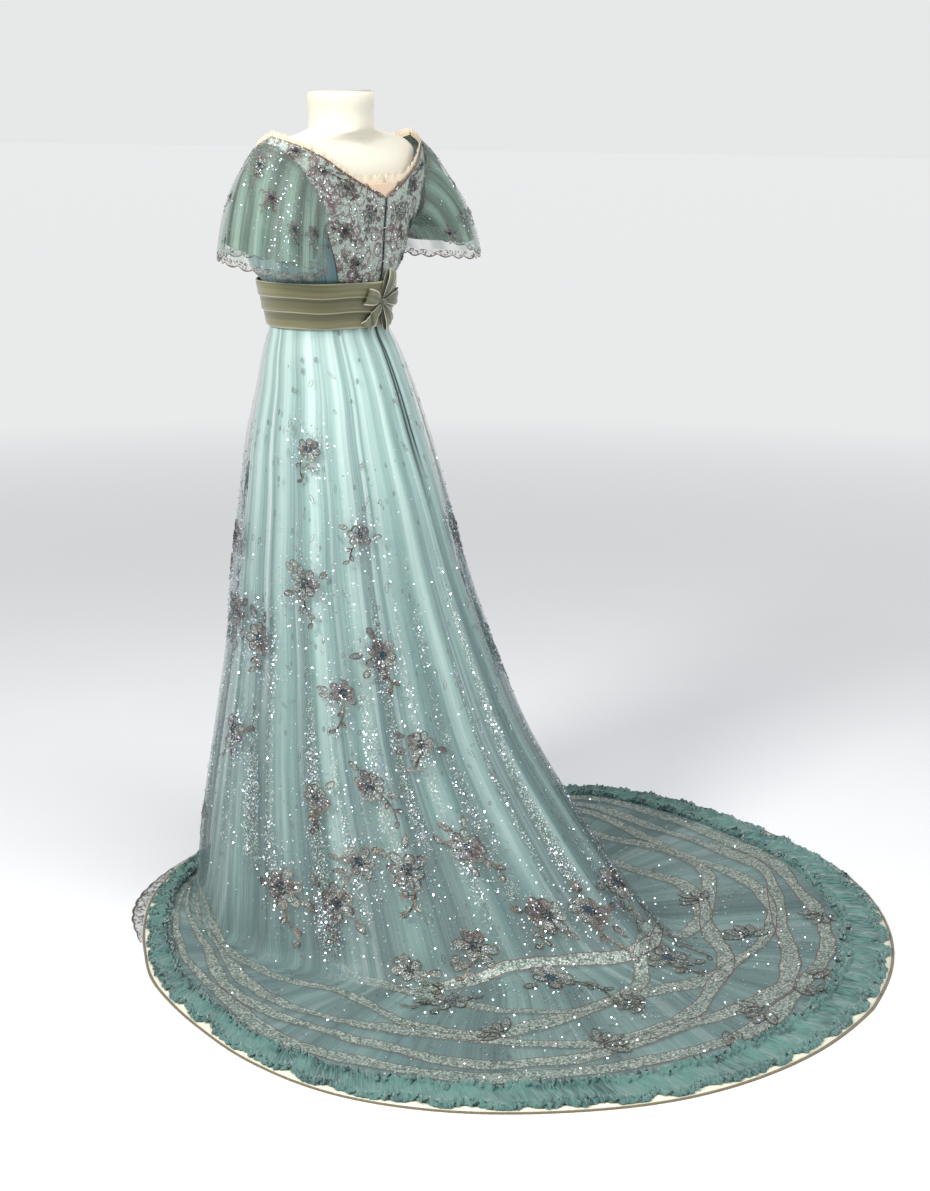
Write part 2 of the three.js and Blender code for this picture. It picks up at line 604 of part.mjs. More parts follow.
// Armhole and hem of the left sleeve's net, both starting at the shoulder and running by the back.
const ARMHOLE = [
  [223.4, 8, 1367.5], [197.4, 48.2, 1337], [168.5, 65.5, 1290], [143.5, 68.5, 1238],
  [150, -20, 1219], [144, -96, 1238], [170, -77, 1288], [203, -44, 1339],
];
const SLEEVE_HEM = [
  [326, 22, 1186], [305, 92, 1170], [246, 120, 1166], [184, 96, 1172],
  [158, 30, 1176], [182, -36, 1188], [240, -60, 1196], [300, -38, 1194],
];
const ARM_CENTRE = point(186, -6, 1296);
const HEM_CENTRE = point(241, 29, 1180);
const SLEEVE_COLUMNS = 20;
const SLEEVE_ROWS = 4;
const SLEEVE_PUFF = 0.55;         // how far the sleeve leaves the straight line from armhole to hem
const GATHERED_IN = 0.35;         // share of the gathers' depth at the armhole
const NET_SLEEVE = { armhole: 1.013, hem: 1, rise: 0, gather: 2.6 };
const CHIFFON_SLEEVE = { armhole: 0.983, hem: 0.84, rise: 14, gather: 3.2 };

function ringCurve(corners) {
  return new THREE.CatmullRomCurve3(corners.map((c) => point(...c)), true, "catmullrom", 0.5);
}
const armholeCurve = ringCurve(ARMHOLE);
const sleeveHemCurve = ringCurve(SLEEVE_HEM);

// The sleeve runs out over the arm first and then down, and its gathers deepen towards the hem.
function sleevePoint(layer, down, around, inset) {
  const top = armholeCurve.getPoint(around % 1).sub(ARM_CENTRE);
  top.multiplyScalar(layer.armhole).add(ARM_CENTRE);
  const foot = sleeveHemCurve.getPoint(around % 1).sub(HEM_CENTRE);
  foot.multiplyScalar(layer.hem).add(HEM_CENTRE);
  foot.z += layer.rise;
  const out = mix(down, Math.sin((down * Math.PI) / 2), SLEEVE_PUFF);
  const fall = mix(down, 1 - Math.cos((down * Math.PI) / 2), SLEEVE_PUFF);
  const p = point(mix(top.x, foot.x, out), mix(top.y, foot.y, out), mix(top.z, foot.z, fall));
  const axis = ARM_CENTRE.clone().lerp(HEM_CENTRE, down);
  const away = p.clone().sub(axis).normalize();
  const crest = Math.round(around * SLEEVE_COLUMNS) % 2 ? 1 : -1;
  return p.addScaledVector(away, crest * layer.gather * Math.min(1, GATHERED_IN + down) - inset);
}

function sleeve(layer) {
  return [0, NET].map((inset) => {
    const surface = (down, across) => sleevePoint(layer, down, across, inset);
    const points = grid(SLEEVE_ROWS, SLEEVE_COLUMNS, surface);
    for (const row of points) row.pop();
    return points;
  });
}

const [netSleeveOuter, netSleeveInner] = sleeve(NET_SLEEVE);
const [chiffonOuter, chiffonInner] = sleeve(CHIFFON_SLEEVE);
add("net_sleeve_left", wallBetween(netSleeveOuter, netSleeveInner, true), net);
add("net_sleeve_right", wallBetween(mirrored(netSleeveOuter), mirrored(netSleeveInner), true), net);
add("chiffon_sleeve_left", wallBetween(chiffonOuter, chiffonInner, true), chiffon);
add("chiffon_sleeve_right", wallBetween(mirrored(chiffonOuter), mirrored(chiffonInner), true), chiffon);

const SLEEVE_LACE = 13;           // depth of the scalloped lace below the net
const SCALLOP = 5;

// Lace under the sleeve's edge from one column to another, with a scallop at every other column.
function sleeveLace(from, to) {
  const hemRow = netSleeveOuter[SLEEVE_ROWS];
  const innerRow = netSleeveInner[SLEEVE_ROWS];
  const rows = (edge) => [0, 1].map((down) => Array.from({ length: to - from + 1 }, (_, k) => {
    const j = (from + k) % SLEEVE_COLUMNS;
    const scallop = down * SCALLOP * (j % 2 ? 0 : -1);
    return edge[j].clone().add(point(0, 0, -SEAM - down * SLEEVE_LACE - scallop));
  }));
  return [rows(hemRow), rows(innerRow)];
}
// Draws the two ends of each row in by a fiftieth of a step.
function shortened(rows) {
  return rows.map((row) => {
    const last = row.length - 1;
    const first = row[0].clone().lerp(row[1], 0.02);
    return [first, ...row.slice(1, last), row[last].clone().lerp(row[last - 1], 0.02)];
  });
}
for (const [name, from, to] of [["back", 0, 10], ["front", 10, 20]]) {
  const [top, base] = sleeveLace(from, to).map(shortened);
  add(`sleeve_lace_left_${name}`, wallBetween(top, base, false), lace);
  add(`sleeve_lace_right_${name}`, wallBetween(mirrored(top), mirrored(base), false), lace);
}

// ---------------------------------------------------------------- sash and bow

const SASH_FOOT = { height: 1052, side: 112.2, depth: 101.2, centre: -31 };
const SASH_TOP = { height: 1131, side: 124, depth: 119, centre: -35.5 };
const SASH_COLUMNS = 32;
const SASH_WALL = 2;
// Three folds up the sash: place up its height, and how far the satin stands out.
const SASH_FOLDS = [
  { up: 1, out: 3 },
  { up: 0.68, out: 5.8 },
  { up: 0.64, out: 3.2 },
  { up: 0.36, out: 5.8 },
  { up: 0.32, out: 3.2 },
  { up: 0, out: 4 },
];

function sashLevel(up) {
  const at = (key) => mix(SASH_FOOT[key], SASH_TOP[key], up);
  return { height: at("height"), side: at("side"), depth: at("depth"), centre: at("centre") };
}

function sash() {
  const ring = (extra) => SASH_FOLDS.map(({ up, out }) =>
    Array.from({ length: SASH_COLUMNS }, (_, j) => {
      const angle = (j / SASH_COLUMNS) * 2 * Math.PI;
      const level = sashLevel(up);
      const [side, depth] = [level.side + out + extra, level.depth + out + extra];
      return point(side * Math.sin(angle), level.centre + depth * Math.cos(angle), level.height);
    }));
  return wallBetween(ring(0), ring(-SASH_WALL), true);
}
add("sash", sash(), oliveSatin);

const KNOT = point(7, 89, 1096); // centre of the bow's knot
const KNOT_RADIUS = 6;
const RIBBON = 1.4;

// A knot drawn together from the ribbon.
const knot = new THREE.SphereGeometry(KNOT_RADIUS, 14, 10).scale(1, 0.9, 1);
add("bow_knot", knot.translate(KNOT.x, KNOT.y, KNOT.z), oliveSatin);

// Side view of a loop: distance from the knot, height off the sash, and the ribbon's half width.
const LOOP_PATH = [
  { away: 0.2, off: 5, half: 1.6 },
  { away: 8, off: 9, half: 7 },
  { away: 17, off: 11.5, half: 10.5 },
  { away: 25, off: 9.5, half: 12 },
  { away: 27.5, off: 5.5, half: 12 },
  { away: 24, off: 1.8, half: 11.5 },
  { away: 13, off: 0.5, half: 8.5 },
  { away: 3, off: 0.5, half: 2.5 },
];
// Each loop's turn from straight up towards the wearer's right, its length and its width.
const LOOPS = [
  { name: "up", turn: 18, long: 1.8, wide: 1.1 },
  { name: "right", turn: 84, long: 1.7, wide: 1.25 },
  { name: "low", turn: 146, long: 1.75, wide: 1.15 },
  { name: "left", turn: 286, long: 1.25, wide: 1.2 },
];
const TAIL = { turn: 214, long: 46, half: 14, foot: 5.6, tip: 3.4, ripple: 2 };

// The back of the sash, over the crests of its folds.
function sashBack(x, height) {
  const up = (height - SASH_FOOT.height) / (SASH_TOP.height - SASH_FOOT.height);
  const crest = SASH_FOLDS[1].out;
  const { side, depth, centre } = sashLevel(up);
  return centre + (depth + crest) * Math.sqrt(1 - (x / (side + crest)) ** 2);
}

// Places a point of the bow, given outwards from the knot, across the ribbon and off the sash.
function bowPoint(turn, away, across, off) {
  const reach = KNOT_RADIUS + away;
  const x = KNOT.x - reach * Math.sin(turn) - across * Math.cos(turn);
  const height = KNOT.z + reach * Math.cos(turn) - across * Math.sin(turn);
  return point(x, sashBack(x, height) + 2 * SEAM + off, height);
}

const LOOP_TIP = 4;               // the row of the path where the ribbon turns back
const RIBBON_CROWN = 0.9;         // how far the ribbon's edges lie below its middle
for (const { name, turn, long, wide } of LOOPS) {
  const ribbon = (thick) => [-1, 0, 1].map((side) => LOOP_PATH.map(({ away, off, half }, i) => {
    const tip = i === LOOP_TIP;
    const under = i < LOOP_TIP ? -thick : thick;
    const reach = away * long - (tip ? thick : 0);
    const height = off + (tip ? 0 : under) - (side ? RIBBON_CROWN : 0);
    return bowPoint(turn * DEG, reach, side * half * wide, height);
  }));
  add(`bow_loop_${name}`, wallBetween(ribbon(0), ribbon(RIBBON), false), oliveSatin);
}

// A gathered tail whose edge ripples.
const TAIL_ROWS = 8;
const tailCloth = (under) => grid(TAIL_ROWS, 3, (share, across) => {
  const ripple = TAIL.ripple * Math.sin(12 * share + 5.7 * across) * share;
  const spread = mix(2, TAIL.half, Math.sqrt(share)) * (2 * across - 1);
  const off = mix(TAIL.foot, TAIL.tip, share) + ripple - under;
  return bowPoint(TAIL.turn * DEG, mix(0.2, TAIL.long, share), spread, off);
});
add("bow_tail", wallBetween(tailCloth(0), tailCloth(RIBBON), false), oliveSatin);

export default gown;
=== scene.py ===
# A trained ball gown of the early 1900s on a limbless dress form: a silk skirt under gathered beaded
# net, a low-necked beaded bodice, short double sleeves, an olive sash with a bow, and a ruched hem.
# Metres, +Z up. The gown faces -Y, its train runs towards +Y, and the wearer's left is +X.

import functools
import math

import bpy
import numpy as np
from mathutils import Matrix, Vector


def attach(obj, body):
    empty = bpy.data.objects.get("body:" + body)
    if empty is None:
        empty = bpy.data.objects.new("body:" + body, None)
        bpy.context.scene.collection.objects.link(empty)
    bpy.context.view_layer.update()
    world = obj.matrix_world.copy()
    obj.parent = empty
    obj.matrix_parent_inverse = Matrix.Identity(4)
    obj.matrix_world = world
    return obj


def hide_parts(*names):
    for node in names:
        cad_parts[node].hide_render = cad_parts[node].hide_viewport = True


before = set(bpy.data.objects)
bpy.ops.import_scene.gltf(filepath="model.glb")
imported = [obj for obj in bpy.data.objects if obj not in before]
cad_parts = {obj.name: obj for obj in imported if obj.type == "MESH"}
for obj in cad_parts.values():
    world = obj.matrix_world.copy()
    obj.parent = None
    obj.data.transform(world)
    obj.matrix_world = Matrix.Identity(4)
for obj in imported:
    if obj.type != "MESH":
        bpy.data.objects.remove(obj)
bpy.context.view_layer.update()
MM = 0.001


# ---------------------------------------------------------------- studio
# A plain pale floor that runs back without a wall, a large soft lamp high on the gown's left, a weaker
# one behind its right, and a broad one overhead. The camera stands behind the gown's left shoulder.

def added(name, data):
    """An object of the scene that holds a mesh, a lamp or a camera."""
    made = bpy.data.objects.new(name, data)
    bpy.context.scene.collection.objects.link(made)
    return made


CAMERA_AT = (2.867, 2.0075, 1.45)
CAMERA_TURN = math.radians(-148.5)   # seen from above, from +X
CAMERA_TILT = math.radians(-14.32)
CAMERA_LENS = 59.85
CAMERA_SENSOR = 36                   # millimetres

camera = added("camera", bpy.data.cameras.new("camera"))
camera.data.lens = CAMERA_LENS
camera.data.sensor_width = CAMERA_SENSOR
camera.location = CAMERA_AT
looks = Vector((math.cos(CAMERA_TILT) * math.cos(CAMERA_TURN),
                math.cos(CAMERA_TILT) * math.sin(CAMERA_TURN), math.sin(CAMERA_TILT)))
camera.rotation_mode = "QUATERNION"
camera.rotation_quaternion = looks.to_track_quat("-Z", "Y")
bpy.context.scene.camera = camera


def lamp(name, at, aim, size, power, colour):
    made = added(name, bpy.data.lights.new(name, "AREA"))
    made.data.shape = "DISK"
    made.data.size = size
    made.data.energy = power
    made.data.color = colour
    made.location = at
    made.rotation_euler = (Vector(aim) - Vector(at)).to_track_quat("-Z", "Y").to_euler()


lamp("key_lamp", (3.9, -0.4, 3.3), (0.1, 0.3, 0.7), 1.5, 190, (1, 0.985, 0.96))
lamp("fill_lamp", (0.2, 4.8, 2.4), (0, 0.4, 0.6), 2.4, 60, (0.95, 0.98, 1))
lamp("top_lamp", (0.4, 1.0, 4.2), (0.3, 0.6, 0), 2.6, 95, (1, 1, 1))

bpy.context.scene.view_settings.view_transform = "Standard"


def dyed(*colour):
    """A colour given as 0 to 255, as light."""
    parts = [c / 255 for c in colour]
    return tuple(p / 12.92 if p <= 0.04045 else ((p + 0.055) / 1.055) ** 2.4 for p in parts) + (1,)


class Value:
    """An output of a node. Arithmetic on it adds Math nodes."""

    def __init__(self, socket):
        self.socket = socket

    def __add__(self, other):
        return maths("ADD", self, other)

    def __sub__(self, other):
        return maths("SUBTRACT", self, other)

    def __mul__(self, other):
        return maths("MULTIPLY", self, other)

    def __truediv__(self, other):
        return maths("DIVIDE", self, other)

    def __rtruediv__(self, other):
        return maths("DIVIDE", other, self)

    def __abs__(self):
        return maths("ABSOLUTE", self)


class Made:
    """A node that was added. Its outputs are read by name or by number."""

    def __init__(self, node):
        self.node = node

    def __getitem__(self, key):
        return Value(self.node.outputs[key])


def tree_of(values):
    return next(value.socket.id_data for value in values if isinstance(value, Value))


def feed(socket, value):
    """Links a value to a socket, or sets a plain one there."""
    if isinstance(value, Value):
        socket.id_data.links.new(value.socket, socket)
    else:
        socket.default_value = value


def fill(node, **inputs):
    for key, value in inputs.items():
        feed(node.inputs[key.replace("_", " ")], value)


def put(tree, kind, settings=None, **inputs):
    """Adds a node with its settings and its inputs."""
    node = tree.nodes.new(kind)
    for key, value in (settings or {}).items():
        setattr(node, key, value)
    fill(node, **inputs)
    return Made(node)


def new_material(name, roughness, **constants):
    made = bpy.data.materials.new(name)
    made.use_nodes = True
    shader = made.node_tree.nodes["Principled BSDF"]
    fill(shader, Roughness=roughness, **constants)
    return made, made.node_tree, shader


def maths(operation, *values):
    made = put(tree_of(values), "ShaderNodeMath", {"operation": operation})
    for socket, value in zip(made.node.inputs, values):
        feed(socket, value)
    return made[0]


def larger(*values):
    return functools.reduce(lambda one, other: maths("MAXIMUM", one, other), values)


def blended(share, first, second):
    """A colour between two others."""
    made = put(tree_of([share]), "ShaderNodeMix", {"data_type": "RGBA"})
    for k, value in ((0, share), (6, first), (7, second)):
        feed(made.node.inputs[k], value)
    return made[2]


def ramp(share, stops):
    """Colours along a share, from a list of places and colours."""
    made = put(tree_of([share]), "ShaderNodeValToRGB", Fac=share)
    elements = made.node.color_ramp.elements
    while len(elements) < len(stops):
        elements.new(0.5)
    for element, (place, colour) in zip(elements, stops):
        element.position, element.color = place, colour
    return made[0]


def spread(value, low, high, to_low=0.0, to_high=1.0):
    """A value's range from low to high, stretched to another range and held inside it."""
    return put(tree_of([value]), "ShaderNodeMapRange", Value=value, From_Min=low, From_Max=high,
               To_Min=to_low, To_Max=to_high)[0]


def noise(place, scale, detail, roughness=0.5):
    return put(tree_of([place]), "ShaderNodeTexNoise", Vector=place, Scale=scale, Detail=detail,
               Roughness=roughness)["Fac"]


def stretch(place, sizes):
    return put(tree_of([place]), "ShaderNodeMapping", Vector=place, Scale=sizes)[0]


def axis_of(vector, axis):
    return put(tree_of([vector]), "ShaderNodeSeparateXYZ", Vector=vector)[axis]


def uv_map(tree):
    return put(tree, "ShaderNodeUVMap")[0]


def own_place(tree):
    return put(tree, "ShaderNodeTexCoord")["Object"]


def attribute(tree, name):
    return put(tree, "ShaderNodeAttribute", {"attribute_name": name})["Fac"]


def bump(shader, height, strength, depth):
    relief = put(shader.id_data, "ShaderNodeBump", Height=height, Strength=strength, Distance=depth)
    fill(shader, Normal=relief[0])


def shader_group(name, inputs, outputs):
    """An empty shader node group and its two end nodes. An input with no value is a vector."""
    group = bpy.data.node_groups.new(name, "ShaderNodeTree")
    for label, value in inputs.items():
        kind = "NodeSocketVector" if value is None else "NodeSocketFloat"
        socket = group.interface.new_socket(label, in_out="INPUT", socket_type=kind)
        if value is not None:
            socket.default_value = value
    for label in outputs:
        group.interface.new_socket(label, in_out="OUTPUT", socket_type="NodeSocketFloat")
    return group, Made(group.nodes.new("NodeGroupInput")), group.nodes.new("NodeGroupOutput")


def use(group, **inputs):
    """Places a node group in the tree that its inputs come from."""
    return put(tree_of(inputs.values()), "ShaderNodeGroup", {"node_tree": group}, **inputs)


# The backdrop is paler to the eye than the light that it sheds on the gown.
BACKDROP = (0.80, 0.805, 0.81, 1)
world = bpy.data.worlds.new("studio")
world.use_nodes = True
sky = world.node_tree
shed = sky.nodes["Background"]
fill(shed, Color=(0.86, 0.88, 0.90, 1), Strength=0.42)
either = put(sky, "ShaderNodeMixShader", Fac=put(sky, "ShaderNodeLightPath")["Is Camera Ray"])
feed(either.node.inputs[1], Value(shed.outputs[0]))
feed(either.node.inputs[2], put(sky, "ShaderNodeBackground", Color=BACKDROP)[0])
fill(sky.nodes["World Output"], Surface=either[0])
bpy.context.scene.world = world

floor_mesh = bpy.data.meshes.new("floor")
FLOOR_HALF = 40
floor_mesh.from_pydata([(x * FLOOR_HALF, y * FLOOR_HALF, 0) for x, y in ((-1, -1), (1, -1), (1, 1), (-1, 1))],
                       [], [(0, 1, 2, 3)])
floor = added("floor", floor_mesh)
paper, tree, shader = new_material("pale_floor", 0.85, Specular_IOR_Level=0.2)
place = own_place(tree)
mottle = noise(place, 2.5, 3.0)
far = spread(put(tree, "ShaderNodeVectorMath", {"operation": "LENGTH"}, Vector=place)["Value"], 1.5, 5.5)
near = blended(mottle, (0.77, 0.78, 0.8, 1), (0.81, 0.815, 0.83, 1))
fill(shader, Base_Color=blended(far, near, (0, 0, 0, 1)), Emission_Color=blended(far, (0, 0, 0, 1), BACKDROP),
     Emission_Strength=1)
floor_mesh.materials.append(paper)


# ---------------------------------------------------------------- dress form and stand
# A padded form of a woman's trunk with a flat-topped neck and sloping shoulders, covered in tightly
# drawn cream cotton. It stands on a dark steel pole and a round base that the skirt hides.

def between(values, slope, i, width, s):
    """A smooth line from the value at i to the next one, a width away, at the share s of the way."""
    return ((2 * s ** 3 - 3 * s ** 2 + 1) * values[i] + (s ** 3 - 2 * s ** 2 + s) * slope[i] * width
            + (3 * s ** 2 - 2 * s ** 3) * values[i + 1] + (s ** 3 - s ** 2) * slope[i + 1] * width)


def smooth_rows(points, count):
    """Even rows on smooth lines through the rows of a grid of points."""
    length = np.linalg.norm(np.diff(points, axis=0), axis=2).mean(axis=1)
    at = np.concatenate([[0], np.cumsum(length)])
    slope = np.gradient(points, at, axis=0)
    where = np.linspace(0, at[-1], count)
    i = np.clip(np.searchsorted(at, where, side="right") - 1, 0, len(at) - 2)
    width = (at[i + 1] - at[i])[:, None, None]
    return between(points, slope, i, width, (where - at[i])[:, None, None] / width)


def cloth(name, grid, inside, closed=False, across=1.0, attributes=None, wall=0.0, cap=False):
    """A surface through a grid of points, facing away from a point inside it, with its own UV map:
    u runs across the columns to the given width, and v is the length down the rows in metres."""
    rows, columns = grid.shape[:2]
    points = grid.reshape(-1, 3)
    i, j = np.meshgrid(np.arange(rows - 1), np.arange(columns if closed else columns - 1), indexing="ij")
    i, j = i.ravel(), j.ravel()
    corners = [(i, j), (i + 1, j), (i + 1, j + 1), (i, j + 1)]
    faces = np.stack([a * columns + b % columns for a, b in corners], axis=1)
    lengths = np.linalg.norm(np.diff(grid, axis=0), axis=2).mean(axis=1)
    down = np.concatenate([[0], np.cumsum(lengths)])
    steps = columns if closed else columns - 1
    uv = np.stack([np.stack([b / steps * across, down[a]], axis=1) for a, b in corners], axis=1)
    a, b, c = (points[faces[:, k]] for k in range(3))
    inverted = (np.cross(b - a, c - a) * (a - np.array(inside))).sum() < 0
    if inverted:
        faces, uv = faces[:, ::-1], uv[:, ::-1]
    lists = faces.tolist()
    flat_uv = uv.reshape(-1, 2)
    if cap:
        for row, turn in ((0, 1), (rows - 1, -1)):
            ring = [row * columns + k for k in range(columns)]
            lists.append(ring[::turn if inverted else -turn])
            flat_uv = np.concatenate([flat_uv, np.zeros((columns, 2))])
    mesh = bpy.data.meshes.new(name)
    mesh.from_pydata(points.tolist(), [], lists)
    layer = mesh.uv_layers.new(name="UVMap")
    layer.data.foreach_set("uv", flat_uv.astype(np.float32).ravel())
    mesh.polygons.foreach_set("use_smooth", [True] * len(lists))
    for key, values in (attributes or {}).items():
        held = mesh.attributes.new(key, "FLOAT", "POINT")
        held.data.foreach_set("value", np.asarray(values, np.float32).ravel())
    made = added(name, mesh)
    if wall:
        shell = made.modifiers.new("wall", "SOLIDIFY")
        shell.thickness = wall
        shell.offset = -1
    return made


def dress(piece, material, slot, *nodes):
    """Gives a piece its material and its body, and hides the solids it stands for. Its slot is not used."""
    piece.data.materials.clear()
    piece.data.materials.append(material)
    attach(piece, "root")
    if nodes:
        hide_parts(*nodes)


# height, half width, reach to the front and to the back of the axis
FORM_RINGS = np.array([
    (845, 100, 112, 92), (870, 118, 124, 98), (920, 121, 132, 92), (990, 110, 128, 74),
    (1066, 105, 124, 62), (1125, 108, 126, 72), (1200, 128, 146, 78), (1250, 156, 134, 84),
    (1300, 184, 106, 84), (1330, 200, 76, 74), (1350, 203, 48, 60), (1363, 188, 40, 50),
    (1374, 146, 40, 49), (1382, 96, 46, 54), (1390, 61, 53, 57), (1406, 56.5, 54.5, 56.5),
    (1447, 56, 54, 56), (1449.2, 55, 53, 55), (1450, 52, 50, 52),
]) * MM
FORM_COLUMNS = 96
FORM_ROWS = 110

turn = np.linspace(0, 2 * np.pi, FORM_COLUMNS, endpoint=False)
height, side, front, back = (FORM_RINGS[:, k][:, None] for k in range(4))
form_rings = np.stack([
    side * np.sin(turn), (back - front) / 2 + (back + front) / 2 * np.cos(turn), height + 0 * turn], axis=2)
dress_form = cloth("dress_form_cover", smooth_rows(form_rings, FORM_ROWS), (0, -0.02, 1.1), closed=True,
                   across=1.0, cap=True)


# Threads crossing at right angles, with thicker places along them.
weave, given, gives = shader_group(
    "woven_threads", {"Coordinates": None, "Threads": 700.0, "Slub": 0.5}, ("Height", "Shade"))
parts = put(weave, "ShaderNodeSeparateXYZ", Vector=given["Coordinates"])
ribs = [maths("SINE", parts[k] * (given["Threads"] * math.pi)) for k in (0, 1)]
crossing = ribs[0] * ribs[1]
slubs = noise(stretch(given["Coordinates"], (1.0, 0.06, 1.0)), 260.0, 2.0)
fill(gives, Height=crossing * 0.35 + slubs * given["Slub"], Shade=slubs)


def plain_cloth(name, roughness, sheen, slub, colours, relief):
    made, tree, shader = new_material(name, roughness, Sheen_Weight=sheen)
    threads = use(weave, Coordinates=uv_map(tree), Threads=900.0, Slub=slub)
    fill(shader, Base_Color=blended(threads["Shade"], *colours))
    bump(shader, threads["Height"], *relief)
    return made


cotton = plain_cloth("cream_cotton", 0.75, 0.15, 0.4, (dyed(224, 219, 204), dyed(212, 205, 186)),
                     (0.12, 0.0004))
dress(dress_form, cotton, "form_cover", "dress_form")

steel, tree, shader = new_material("dark_steel", 0.4, Metallic=0.85)
brushed = noise(own_place(tree), 90.0, 4.0)
fill(shader, Base_Color=blended(brushed, (0.06, 0.06, 0.065, 1), (0.13, 0.13, 0.14, 1)),
     Roughness=spread(brushed, 0.2, 0.8, 0.32, 0.5))
for name in ("stand_pole", "stand_base"):
    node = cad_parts[name]
    node.data.materials.clear()
    node.data.materials.append(steel)


# ---------------------------------------------------------------- silk skirt
# The underskirt is pale blue-green satin, cut in gores, drawn into gathers at the waist and faced with
# cream satin at the hem. It hangs inside the net and lies on the floor all round, longest at the back.

# Level sections from the waist to the floor: height, half width, half depth, how far the centre lies
# behind the axis, how far the centre back pleats stand out, depth of a gather, silk inside the net.
SKIRT_LEVELS = np.array([
    (1065.7, 111.5, 100, -31, 0, 0.4, 2.6), (1046, 113.5, 102.5, -31, 0, 0.8, 2.9),
    (1010, 126, 118, -27, 0, 2.4, 5.5), (950, 140, 138, -20, 0, 4, 8), (860, 163, 164, -15, 3, 6.5, 11.5),
    (750, 182, 188, -6, 12, 8, 14), (620, 205, 213, 2, 26, 10, 17), (480, 230, 241, 19, 42, 12, 19),
    (340, 263, 279, 36, 60, 14, 21), (210, 299, 329, 64, 80, 16, 22), (110, 331, 371, 94, 92, 16, 21),
    (45, 352, 394, 114, 115, 13, 18), (15, 360, 403, 124, 140, 7, 12),
]) * MM
LANDING = np.array((0, 366, 409, 129, 165, 6, 9)) * MM
RIDGE_POWER = 10
# The hem: degrees from the centre back, reach to the wearer's left and right, and its flounce's width.
HEM_OUTLINE = np.array([
    (0, 1026, 1026, 86), (12, 1020, 1007, 85), (25, 991, 970, 84), (37, 936, 920, 80), (47, 884, 866, 78),
    (57, 818, 820, 74), (68, 722, 772, 70), (77, 642, 716, 66), (85, 584, 640, 62), (95, 524, 556, 58),
    (105, 466, 484, 52), (113, 432, 438, 47), (122, 402, 402, 43), (136, 371, 371, 40),
    (150, 349, 349, 38), (165, 337, 337, 38), (180, 333, 333, 38),
])
FOLDS = 18
BACK_FULLNESS = 0.38
GORES = ("back_left", "side_left", "front", "side_right", "back_right")
UNDER_SKIRT = (0, 0.2, -1)
SILK_LIES = 2 * MM


def around_skirt(turn):
    """The angle from the centre back of a place round the skirt, from 0 to 1 by the wearer's left."""
    half = np.where(turn > 0.5, 2 * turn - 2, 2 * turn)
    away = np.abs(half)
    return np.sign(half) * np.pi * ((1 - BACK_FULLNESS) * away + BACK_FULLNESS * away * away)


def smooth_read(table, column, at):
    """One column of a table on a smooth line through its rows, read by the first column."""
    keys, values = table[:, 0], table[:, column]
    slope = np.gradient(values, keys)
    i = np.clip(np.searchsorted(keys, at, side="right") - 1, 0, len(keys) - 2)
    width = keys[i + 1] - keys[i]
    return between(values, slope, i, width, (at - keys[i]) / width)


def fold_depth(turn):
    """How deep a place lies in its fold, from 0 on a ridge to 1 in a trough. The folds are uneven."""
    fold = np.round(turn * FOLDS) % FOLDS
    strength = 0.72 + 0.28 * np.sin(2.4 * fold + 0.6)
    return strength * (0.5 - 0.5 * np.cos(turn * FOLDS * 2 * np.pi + np.pi))


def hem_reach(angle):
    from_back = np.abs(np.degrees(angle))
    left, right = smooth_read(HEM_OUTLINE, 1, from_back), smooth_read(HEM_OUTLINE, 2, from_back)
    return np.where(angle > 0, left, right) * MM


def flounce_width(angle):
    return smooth_read(HEM_OUTLINE, 3, np.abs(np.degrees(angle))) * MM


def section(level, angle, inset, height):
    """A line round the skirt at one of its levels."""
    ridge = level[4] * np.maximum(0, np.cos(angle)) ** RIDGE_POWER
    return np.stack([(level[1] - inset) * np.sin(angle),
                     level[3] + (level[2] - inset) * np.cos(angle) + ridge, height + 0 * angle], axis=1)


def hem_point(angle, inset, height):
    reach = hem_reach(angle) - inset
    return np.stack([reach * np.sin(angle), reach * np.cos(angle), height + 0 * angle], axis=-1)


def grid_normals(grid, closed=True):
    """Unit normals of a grid of points, away from the cloth's inside for a skirt that runs by the left."""
    if closed:
        along = np.roll(grid, -1, axis=1) - np.roll(grid, 1, axis=1)
    else:
        along = np.gradient(grid, axis=1)
    normal = np.cross(along, np.gradient(grid, axis=0))
    return normal / np.maximum(np.linalg.norm(normal, axis=2, keepdims=True), 1e-12)


def nearest(turn):
    """A part of a full turn as the shortest way round, from -0.5 to 0.5."""
    return (turn + 0.5) % 1 - 0.5


def creases(rows, turn, seed, count, narrow, wide, long):
    """Uneven creases that run down the cloth: each has its own place, width, depth, start and end."""
    chance = np.random.default_rng(seed)
    down = np.linspace(0, 1, rows)[:, None]
    total = np.zeros((rows, len(turn)))
    for _ in range(count):
        centre, width = chance.random(), chance.uniform(narrow, wide)
        start, reach = chance.uniform(-0.5, 0.8), chance.uniform(*long)
        lean = chance.normal(0, 0.004)
        off = nearest(turn[None, :] - centre - lean * (down - start))
        along = np.clip((down - start) / reach, 0, 1)
        total += chance.uniform(0.4, 1) * np.exp(-(off / width) ** 2) * np.sin(np.pi * along) ** 0.7
    return total


def placket_shade(turn, drop):
    """Painted shade: a dark line in the closed back opening, which runs a short way down from the waist."""
    off = nearest(turn[None, :] - 0.0015)
    return np.exp(-(off / 0.005) ** 4) * np.clip((0.24 - drop) / 0.08, 0, 1)


